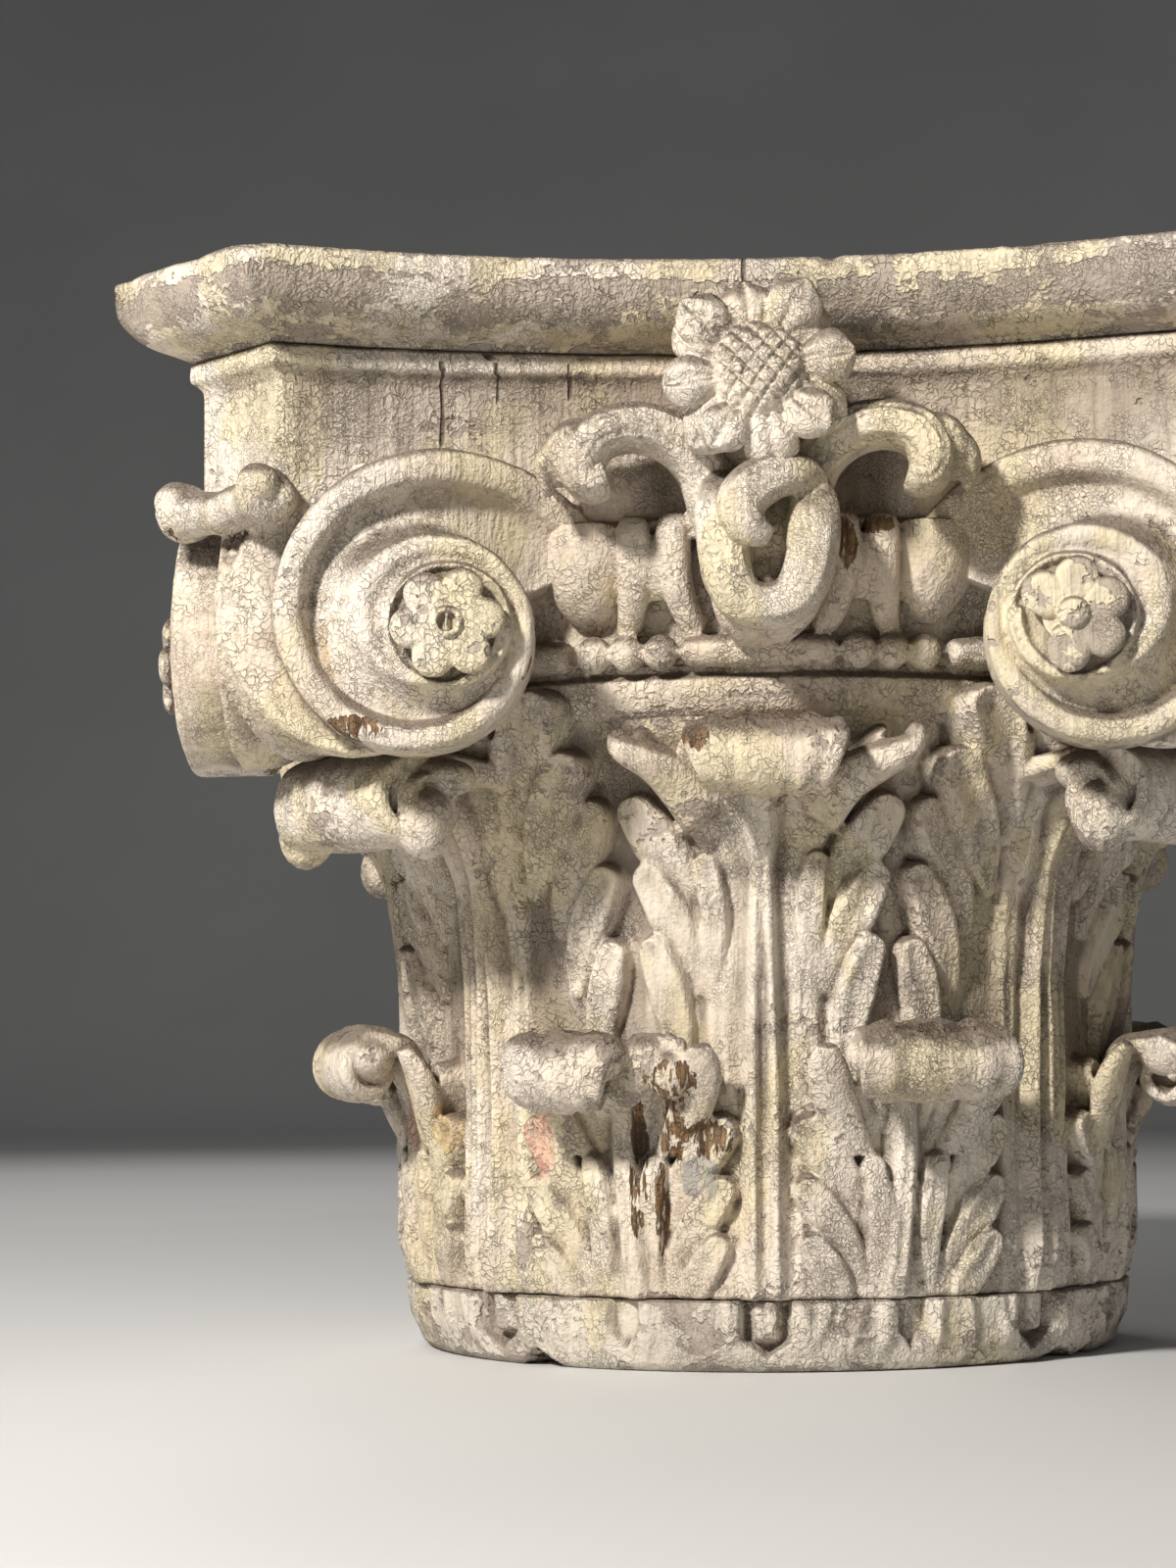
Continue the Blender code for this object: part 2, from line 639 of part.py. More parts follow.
def make_rosettes():
    """Eight pegged flowers in the volute eyes."""
    finish = paint("aged_cream_paint_rosette", (0.58, 0.50, 0.38), 0.75)
    ring = helper(rosette_mesh(), "petals")
    number = 0
    for side in range(SIDES):
        spin = Matrix.Rotation(math.radians(90 * side), 4, "Z")
        for sign in (-1, 1):
            centre, normal, inward = volute_frame(sign)
            number += 1
            button = place(button_mesh(), f"rosette_{number}", finish)
            frame = Matrix((inward, normal.cross(inward), normal)).transposed().to_4x4()
            frame.translation = centre + normal * (EYE_RISE - 0.002 + GAP)
            around = ring.copy()
            around.name = f"petals_{number}"
            bpy.context.scene.collection.objects.link(around)
            around.matrix_world = spin @ frame
            button.matrix_world = spin @ frame
            combine(button, around, "UNION")


def main():
    """Build every piece."""
    clear_scene()
    make_base()
    make_block()
    make_slab()
    make_rosettes()


main()
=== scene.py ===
"""Looks of a carved and painted wooden corinthian capital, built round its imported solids.

Metres, +Z up; azimuths are in degrees from the front face (-Y) towards +X.
"""
from __future__ import annotations

import logging
import math
import time
from dataclasses import dataclass, field
from enum import Enum
from typing import Callable, Iterable, Sequence

import bpy  # noqa: E402
import numpy as np  # noqa: E402
from mathutils import Matrix, Vector, noise  # noqa: E402


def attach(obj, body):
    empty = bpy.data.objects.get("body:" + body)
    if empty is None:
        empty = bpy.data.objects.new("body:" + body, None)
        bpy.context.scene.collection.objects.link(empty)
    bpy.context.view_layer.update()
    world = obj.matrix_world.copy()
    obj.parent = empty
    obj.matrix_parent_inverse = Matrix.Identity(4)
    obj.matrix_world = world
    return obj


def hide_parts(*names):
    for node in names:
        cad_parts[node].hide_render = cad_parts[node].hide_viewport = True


LOG = logging.getLogger("capital")
BODY = "root"
JOINT_LOW, JOINT_HIGH, HEIGHT = 0.030, 0.4165, 0.450
DEGREE = math.radians(1.0) * 0.165
BROAD_STEPS, FINE_STEPS = 40, 5
BROAD_DEPTH, FINE_DEPTH, EDGE_DEPTH = 0.0045, 0.0011, 0.0012
Array = np.ndarray
Colour = tuple[float, float, float]
Socket = bpy.types.NodeSocket

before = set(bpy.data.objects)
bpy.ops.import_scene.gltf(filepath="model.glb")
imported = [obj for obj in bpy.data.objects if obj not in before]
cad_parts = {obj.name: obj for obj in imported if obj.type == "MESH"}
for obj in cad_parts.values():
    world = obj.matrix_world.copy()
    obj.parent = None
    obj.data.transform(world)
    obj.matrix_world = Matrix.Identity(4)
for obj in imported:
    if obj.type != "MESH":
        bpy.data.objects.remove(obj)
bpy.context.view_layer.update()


class Part(Enum):
    """Finish slot names of the record; no piece in this script takes its finish from them."""

    FOOT = "foot_paint"
    BLOCK = "cream_paint"
    SLAB = "slab_paint"
    ROSETTE = "rosette_paint"


class Stain(Enum):
    """Channels of the colour attribute that holds where the paint is gone or tinted."""

    BARE = 0
    RED = 1
    BLUE = 2
    OCHRE = 3


# ---------------------------------------------------------------- geometry helpers
def polar(azimuth: float, radius: float, height: float) -> Array:
    """Point at an azimuth, a radius and a height."""
    turn = math.radians(azimuth)
    return np.array((radius * math.sin(turn), -radius * math.cos(turn), height))


def outward(azimuth: float) -> Array:
    """Unit vector away from the axis at an azimuth."""
    return polar(azimuth, 1.0, 0.0)


def sideways(azimuth: float) -> Array:
    """Unit vector along the rim at an azimuth, towards +X on the front."""
    turn = math.radians(azimuth)
    return np.array((math.cos(turn), math.sin(turn), 0.0))


UP = np.array((0.0, 0.0, 1.0))
FRONT = np.array((0.0, -1.0, 0.0))
RIGHT = np.array((1.0, 0.0, 0.0))


def circle(count: int) -> Array:
    """Even angles of a whole turn."""
    return 2 * np.pi * np.arange(count) / count


def off(azimuth: Array, place: float) -> Array:
    """Degrees from a place on the rim, -180 to 180."""
    return (azimuth - place + 180.0) % 360.0 - 180.0


def from_axis(points: Array) -> Array:
    """Level directions away from the axis.

    Args:
        points: rows of positions.

    Returns:
        Unit vectors, one row each.
    """
    flat = points.copy()
    flat[:, 2] = 0
    return flat / (np.linalg.norm(flat, axis=1, keepdims=True) + 1e-9)


def speckle(points: Array, scale: float, shift: Vector = Vector()) -> Array:
    """Fine noise at each position."""
    return np.array([noise.noise(Vector(p) * scale + shift) for p in points])


def smooth(low: float, high: float, value: Array | float) -> Array | float:
    """Smooth step of a value from low to high.

    Args:
        low: value where the step is 0.
        high: value where the step is 1.
        value: numbers to map.

    Returns:
        Numbers from 0 to 1.
    """
    t = np.clip((value - low) / (high - low), 0.0, 1.0)
    return t * t * (3.0 - 2.0 * t)


def ripple(points: Array, size: float, seed: float = 0.0) -> Array:
    """Cheap smooth noise in three directions.

    Args:
        points: positions, one row each.
        size: length of one swell in metres.
        seed: shifts the pattern.

    Returns:
        One number for each position, about -1 to 1.
    """
    p = points / size
    x, y, z = p[..., 0] + seed, p[..., 1] - 1.7 * seed, p[..., 2] + 0.6 * seed
    one = np.sin(1.9 * x + 2.3 * np.sin(1.3 * y + 0.7 * z)) * np.cos(2.1 * y + 1.1 * np.sin(1.7 * z))
    two = np.sin(3.1 * z + 1.9 * np.sin(1.1 * x - 0.9 * y)) * np.cos(2.7 * x - 1.3 * np.sin(2.2 * y))
    return 0.55 * one + 0.45 * two


def spin(points: Array, degrees: float) -> Array:
    """Positions turned round the axis."""
    c, s = math.cos(math.radians(degrees)), math.sin(math.radians(degrees))
    return points @ np.array(((c, s, 0.0), (-s, c, 0.0), (0.0, 0.0, 1.0)))


def curve_through(points: Sequence[Sequence[float]], count: int) -> Array:
    """Evenly spaced positions on a smooth curve through the given ones.

    Args:
        points: positions to pass through.
        count: how many positions to return.

    Returns:
        Rows of positions.
    """
    pts = np.array(points, float)
    ends = np.vstack((2 * pts[0] - pts[1], pts, 2 * pts[-1] - pts[-2]))
    t = np.linspace(0, len(pts) - 1, count)
    i = np.minimum(t.astype(int), len(pts) - 2)
    f = (t - i)[:, None]
    a, b, c, d = ends[i], ends[i + 1], ends[i + 2], ends[i + 3]
    return 0.5 * (2 * b + (c - a) * f + (2 * a - 5 * b + 4 * c - d) * f ** 2 + (3 * b - a - 3 * c + d) * f ** 3)


def values_through(values: Sequence[float], count: int) -> Array:
    """Evenly spaced numbers on a smooth curve through the given ones."""
    return curve_through([(v,) for v in values], count)[:, 0]


@dataclass
class Clay:
    """Closed forms that overlap, collected before they are made one skin."""

    verts: list[Array] = field(default_factory=list)
    faces: list[Array] = field(default_factory=list)
    total: int = 0

    def add(self, verts: Array, faces: Iterable[Array]) -> None:
        """Take in one form.

        Args:
            verts: its positions.
            faces: arrays of corner numbers, one array for each count of corners.
        """
        self.verts.append(verts)
        self.faces += [f + self.total for f in faces]
        self.total += len(verts)

    def loft(self, rings: Array) -> None:
        """Closed skin through rings of equal count.

        Args:
            rings: rings x points x 3 positions.
        """
        n, m, _ = rings.shape
        low = np.arange((n - 1) * m).reshape(n - 1, m)
        quads = np.stack((low, np.roll(low, -1, 1), np.roll(low, -1, 1) + m, low + m), -1).reshape(-1, 4)
        caps = np.vstack((rings[0].mean(0), rings[-1].mean(0)))
        around = np.arange(m)
        nxt = np.roll(around, -1)
        first = np.stack((nxt, around, np.full(m, n * m)), -1)
        last = np.stack((around + (n - 1) * m, nxt + (n - 1) * m, np.full(m, n * m + 1)), -1)
        self.add(np.vstack((rings.reshape(-1, 3), caps)), (quads, np.vstack((first, last))))

    def sweep(self, path: Array, side: Array, widths: Array, depths: Array, count: int = 24, power: float = 1.0,
              veins: float = 0.0) -> None:
        """Loft of ovals along a path.

        Args:
            path: rows of positions.
            side: direction of the width, one for all or one each.
            widths: full width at each position.
            depths: full depth at each position.
            count: points of a ring.
            power: under 1 makes the ovals squarer.
            veins: depth of grooves along the sweep, as a share of its depth.
        """
        sides = np.broadcast_to(side, path.shape)
        ahead = np.gradient(path, axis=0)
        ups = np.cross(sides, ahead)
        ups /= np.linalg.norm(ups, axis=1, keepdims=True) + 1e-12
        turn = 2 * np.pi * (np.arange(count) + 0.5) / count
        c, s = np.cos(turn), np.sin(turn)
        c, s = np.sign(c) * abs(c) ** power, np.sign(s) * abs(s) ** power
        s = s * (1 - veins * (0.5 + 0.5 * np.cos(5 * math.pi * c + 0.6)) - 0.5 * veins * np.exp(-(c / 0.12) ** 2))
        rings = (path[:, None] + sides[:, None] * (0.5 * widths[:, None, None] * c[None, :, None])
                 + ups[:, None] * (0.5 * depths[:, None, None] * s[None, :, None]))
        self.loft(rings)

    def strip(self, points: Sequence[Sequence[float]], side: Array, widths: Sequence[float],
              depths: Sequence[float], steps: int, count: int = 24, power: float = 1.0,
              veins: float = 0.0) -> None:
        """Sweep along a smooth curve.

        Args:
            points: positions to pass through.
            side: direction of the width.
            widths: full widths, evenly spaced along it.
            depths: full depths, evenly spaced along it.
            steps: rings of the sweep.
            count: points of a ring.
            power: under 1 makes the ovals squarer.
            veins: depth of grooves along the sweep, as a share of its depth.
        """
        self.sweep(curve_through(points, steps), side, values_through(widths, steps),
                   values_through(depths, steps), count, power, veins)

    def ribbon(self, points: Sequence[Sequence[float]], outs: Sequence[float], widths: Sequence[float],
               steps: int, veins: float) -> None:
        """Sweep over the front face whose grooves show from the front.

        Args:
            points: positions to pass through.
            outs: how far it stands out, evenly spaced along it.
            widths: its widths on the face, evenly spaced along it.
            steps: rings of the sweep.
            veins: depth of its grooves, as a share of outs.
        """
        path = curve_through(points, steps)
        across = np.cross(np.gradient(path, axis=0), FRONT)
        across /= np.linalg.norm(across, axis=1, keepdims=True)
        self.sweep(path, across, values_through(widths, steps), values_through(outs, steps), 48, 0.80, veins)

    def ball(self, centre: Array, radii: Sequence[float], axes: Array | None = None, count: int = 20) -> None:
        """Egg-shaped ball.

        Args:
            centre: its middle.
            radii: three half sizes.
            axes: three rows of directions for them.
            count: points of a ring.
        """
        axes = np.eye(3) if axes is None else axes
        lat = np.linspace(-np.pi / 2 + 0.05, np.pi / 2 - 0.05, count // 2)
        lon = circle(count)
        unit = np.stack((np.cos(lat)[:, None] * np.cos(lon), np.cos(lat)[:, None] * np.sin(lon),
                         np.repeat(np.sin(lat)[:, None], count, 1)), -1)
        self.loft(centre + (unit * np.array(radii)) @ axes)

    def four_sides(self, build: Callable[["Clay", int], None]) -> None:
        """Build the same forms for each face and turn them into place.

        Args:
            build: puts the forms of the front face into a Clay, given the face's number.
        """
        for side in range(4):
            part = Clay()
            build(part, side)
            self.add(spin(np.vstack(part.verts), 90.0 * side), part.faces)

    def to_object(self, name: str) -> bpy.types.Object:
        """Object in the scene that holds all the forms.

        Args:
            name: of the object.

        Returns:
            The object, linked to the scene.
        """
        mesh = bpy.data.meshes.new(name)
        verts = np.vstack(self.verts)
        loops = np.concatenate([f.ravel() for f in self.faces]).astype(np.int32)
        sizes = np.concatenate([np.full(len(f), f.shape[1]) for f in self.faces])
        mesh.vertices.add(len(verts))
        mesh.vertices.foreach_set("co", verts.astype(np.float32).ravel())
        mesh.loops.add(len(loops))
        mesh.loops.foreach_set("vertex_index", loops)
        mesh.polygons.add(len(sizes))
        mesh.polygons.foreach_set("loop_start", (np.cumsum(sizes) - sizes).astype(np.int32))
        mesh.update(calc_edges=True)
        item = bpy.data.objects.new(name, mesh)
        bpy.context.scene.collection.objects.link(item)
        return item


def only(item: bpy.types.Object) -> None:
    """Select one object alone and make it active.

    Args:
        item: the object.
    """
    bpy.ops.object.select_all(action="DESELECT")
    item.select_set(True)
    bpy.context.view_layer.objects.active = item


def apply_modifier(item: bpy.types.Object, kind: str, **settings: object) -> None:
    """Add a modifier and apply it.

    Args:
        item: the object.
        kind: Blender's name of the modifier.
        settings: its values.
    """
    only(item)
    made = item.modifiers.new(kind.title(), kind)
    for key, value in settings.items():
        setattr(made, key, value)
    bpy.ops.object.modifier_apply(modifier=made.name)


def one_skin(item: bpy.types.Object, grain: float, most: int) -> None:
    """Make overlapping forms one closed skin with a top number of triangles.

    Args:
        item: the object.
        grain: size of a cell of the skin.
        most: triangles to keep.
    """
    apply_modifier(item, "REMESH", mode="VOXEL", voxel_size=grain * 1.0)
    faces = 2 * len(item.data.polygons)
    if faces > most:
        apply_modifier(item, "DECIMATE", ratio=most / faces)


def positions(item: bpy.types.Object) -> Array:
    """Positions of a mesh's vertices.

    Args:
        item: the object.

    Returns:
        One row for each vertex.
    """
    co = np.empty(len(item.data.vertices) * 3, np.float32)
    item.data.vertices.foreach_get("co", co)
    return co.reshape(-1, 3).astype(float)


def normals(item: bpy.types.Object) -> Array:
    """Normals of a mesh's vertices.

    Args:
        item: the object.

    Returns:
        One row for each vertex.
    """
    out = np.empty(len(item.data.vertices) * 3, np.float32)
    item.data.vertex_normals.foreach_get("vector", out)
    return out.reshape(-1, 3).astype(float)


def put_positions(item: bpy.types.Object, co: Array) -> None:
    """Write the positions of a mesh's vertices."""
    item.data.vertices.foreach_set("co", co.astype(np.float32).ravel())
    item.data.update()


def weather(item: bpy.types.Object, swell: float, grain: float, seed: float = 0.0) -> None:
    """Worn, hand-carved unevenness: moves the skin a little along its normals.

    Args:
        item: the object.
        swell: size of the broad unevenness in metres.
        grain: size of the fine unevenness in metres.
        seed: shifts the pattern.
    """
    co, n = positions(item), normals(item)
    fine = speckle(co, 95.0, Vector((seed, 0.0, 0.0)))
    move = swell * ripple(co, 0.034, seed) + grain * fine
    put_positions(item, co + n * move[:, None])


def stain(item: bpy.types.Object, spots: Sequence[tuple[Stain, Sequence[float], Sequence[float], float]]) -> None:
    """Store where the paint is gone or tinted.

    Args:
        item: the object.
        spots: kind, centre, three half sizes and strength of each patch.
    """
    co = positions(item)
    rgba = np.zeros((len(co), 4), np.float32)
    for kind, centre, half, strength in spots:
        far = np.sqrt((((co - np.array(centre)) / np.array(half)) ** 2).sum(1))
        rgba[:, kind.value] = np.maximum(rgba[:, kind.value], strength * (1.0 - smooth(0.55, 1.15, far)))
    made = item.data.attributes.new("stain", "FLOAT_COLOR", "POINT")
    made.data.foreach_set("color", rgba.ravel())


def store_hollows(item: bpy.types.Object) -> None:
    """Store how far each place lies in a hollow or on an edge, for dirt and painted shade in hollows and for wear on
    edges.

    Args:
        item: the object, which gets the colour attribute "lie": broad hollow, fine hollow, edge.
    """
    mesh = item.data
    ends = np.empty(len(mesh.edges) * 2, np.int32)
    mesh.edges.foreach_get("vertices", ends)
    a, b = ends.reshape(-1, 2).T
    co, n = positions(item), normals(item)
    total = len(co)
    count = np.bincount(np.concatenate((a, b)), minlength=total)[:, None] + 1e-9

    def spread(values: Array) -> Array:
        """Mean of each place's neighbours."""
        return np.stack([np.bincount(a, values[b, k], total) + np.bincount(b, values[a, k], total)
                         for k in range(values.shape[1])], -1) / count

    even, fine = co.copy(), co
    for step in range(BROAD_STEPS):
        even = 0.4 * even + 0.6 * spread(even)
        if step == FINE_STEPS:
            fine = even.copy()
    broad_depth = ((even - co) * n).sum(1)
    fine_depth = ((fine - co) * n).sum(1)
    rgba = np.ones((total, 4))
    # red and green: broad and fine hollows, which the paint darkens as painted shade mixed with dirt; blue: edges,
    # which wear
    rgba[:, 0] = np.clip(broad_depth / BROAD_DEPTH, 0, 1)
    rgba[:, 1] = np.clip(fine_depth / FINE_DEPTH, 0, 1)
    rgba[:, 2] = np.clip(-fine_depth / EDGE_DEPTH, 0, 1)
    for _ in range(2):
        rgba = 0.5 * rgba + 0.5 * spread(rgba)
    made = mesh.attributes.new("lie", "FLOAT_COLOR", "POINT")
    made.data.foreach_set("color", rgba.astype(np.float32).ravel())


def finish(item: bpy.types.Object, material: bpy.types.Material, nodes: Sequence[str] = ()) -> None:
    """Dress a piece, tie it to the object and let it stand for its solids.

    Args:
        item: the piece.
        material: its finish.
        nodes: CAD nodes that it replaces.
    """
    store_hollows(item)
    item.data.materials.clear()
    item.data.materials.append(material)
    item.data.polygons.foreach_set("use_smooth", np.ones(len(item.data.polygons), bool))
    item.data.update()
    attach(item, BODY)
    if nodes:
        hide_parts(*nodes)
    LOG.info("%s: %d triangles", item.name, sum(len(p.vertices) - 2 for p in item.data.polygons))


# ---------------------------------------------------------------- bell, leaves
@dataclass(frozen=True)
class Lobe:
    """Finger of a leaf in low relief: degrees from the midrib and heights of its tip and root."""

    tip: tuple[float, float]
    root: tuple[float, float]
    width: float
    height: float = 0.0065
    hollow: float = 0.22
    groove: float = 0.0026

    def carve(self, ground: Array, u: Array, z: Array, mirror: float = 1.0) -> Array:
        """Lay this finger over what is carved already, with a groove along its outline.

        Args:
            ground: relief so far.
            u: degrees from the leaf's midrib.
            z: heights.
            mirror: -1 for the finger of the other side.

        Returns:
            Relief in metres.
        """
        x = u * mirror * DEGREE
        near, rise = np.full_like(u, 9.0), np.zeros_like(u)
        (tx, tz), (rx, rz) = self.tip, self.root
        bend = (0.55 * tx + 0.45 * rx - 2.2, 0.5 * (tz + rz) - 0.004)
        for t in np.linspace(0.0, 1.0, 22):
            px = (rx * (1 - t) ** 2 + 2 * bend[0] * t * (1 - t) + tx * t * t) * DEGREE
            pz = rz * (1 - t) ** 2 + 2 * bend[1] * t * (1 - t) + tz * t * t
            half = 0.5 * self.width * (0.42 + 0.58 * math.sin(min(1.0, 1.35 * t) * math.pi / 2)) * (1 - 0.22 * t ** 6)
            far = np.hypot(x - px, (z - pz) * 0.92) / half
            closer = far < near
            near = np.where(closer, far, near)
            rise = np.where(closer, self.height * (0.30 + 0.70 * min(1.0, 1.3 * t) ** 1.2), rise)
        crown = np.clip(1 - near ** 6, 0, 1) ** 0.42 - self.hollow * (1 - np.clip(near / 0.70, 0, 1) ** 2)
        ground = ground - self.groove * np.exp(-((near - 1.12) / 0.15) ** 2)
        return np.where(near < 1.0, np.maximum(ground, rise * crown), ground)


@dataclass(frozen=True)
class Curl:
    """Rolled tip of a leaf, in its radial plane: where it leaves the bell, its top, reach and roll."""

    start: float
    top: float
    tip: float
    roll: float
    width: float
    root_width: float
    turns: float = 1.35
    taper: float = 0.020
    veins: float = 0.38
    rise_steps: int = 26
    roll_steps: int = 64

    def path(self, root: float) -> tuple[Array, Array]:
        """Radial and upright positions of the sheet's middle line, and how far along the roll each is.

        Args:
            root: radius of the bell where it leaves.

        Returns:
            Rows of radius and height, and shares from 0 to 1.
        """
        reach = self.tip - self.roll
        rise = curve_through(((root - 0.020, self.start - 0.030), (root - 0.007, self.start - 0.006),
                              (0.86 * root + 0.14 * reach, self.top - 0.019),
                              (0.62 * root + 0.38 * reach, self.top - 0.0095),
                              (reach - 0.007, self.top - 0.0060)), self.rise_steps)
        turn = np.radians(np.linspace(84.0, 90.0 - 360.0 * self.turns, self.roll_steps))
        size = (self.roll - 0.005) * np.linspace(1.0, 0.30, self.roll_steps)
        roll = np.stack((reach + size * np.cos(turn), self.top - self.roll + size * np.sin(turn)), -1)
        along = np.concatenate((np.zeros(self.rise_steps), np.linspace(0, 1, self.roll_steps)))
        return np.vstack((rise, roll)), along

    def build(self, clay: Clay, azimuth: float, root: float, span: tuple[float, float] = (-1.0, 1.0),
              stop: float = 1.0, lean: float = 0.0) -> None:
        """Put the curl into the clay.

        Args:
            clay: takes the form.
            azimuth: of the leaf.
            root: radius of the bell where it leaves.
            span: part of the width that is there.
            stop: part of the path that is there.
            lean: turn of the roll in degrees.
        """
        plane, along = self.path(root)
        keep = max(8, int(len(plane) * stop))
        plane, along = plane[:keep], along[:keep]
        out, side = outward(azimuth), sideways(azimuth + lean)
        t = np.clip(np.arange(keep) / self.rise_steps, 0, 1)
        share = 0.5 * (span[1] - span[0])
        widths = share * (self.root_width + (self.width - self.root_width) * smooth(0.15, 0.9, t)
                          + 0.004 * smooth(0.0, 0.08, along) - self.taper * smooth(0.08, 0.50, along)
                          + 0.008 * smooth(0.6, 0.95, along))
        widths = widths * (1 + 0.08 * np.sin(9.0 * along + 3.0 * azimuth) + 0.05 * np.sin(14.0 * t + azimuth))
        thick = np.where(along > 0, 0.0104 - 0.0030 * along, 0.0135)
        middle = 0.5 * (span[0] + span[1]) * 0.5 * self.width
        path = plane[:, :1] * out + plane[:, 1:] * UP + side * (middle * smooth(0.1, 0.8, t))[:, None]
        path = path + UP * (0.0020 * np.sin(0.7 * azimuth) * smooth(0.5, 1.0, t))[:, None]
        clay.sweep(path, side, widths, thick, 64, 0.55, self.veins)
        if stop < 1.0:
            return
        for s in (-1, 1):
            fold = out * (self.tip - 0.9 * self.roll) + UP * (self.top - 0.62 * self.roll)
            clay.ball(fold + side * (middle + s * 0.34 * widths[40]), (0.013, 0.013, 0.0105))
        hub = np.linspace(-0.5, 0.5, 12)[:, None] * side * widths[-1] * 0.62 + side * middle
        hub = hub + out * (self.tip - self.roll) + UP * (self.top - self.roll)
        thick = np.full(12, self.roll * 1.2)
        clay.sweep(hub, out, thick, thick, 24)


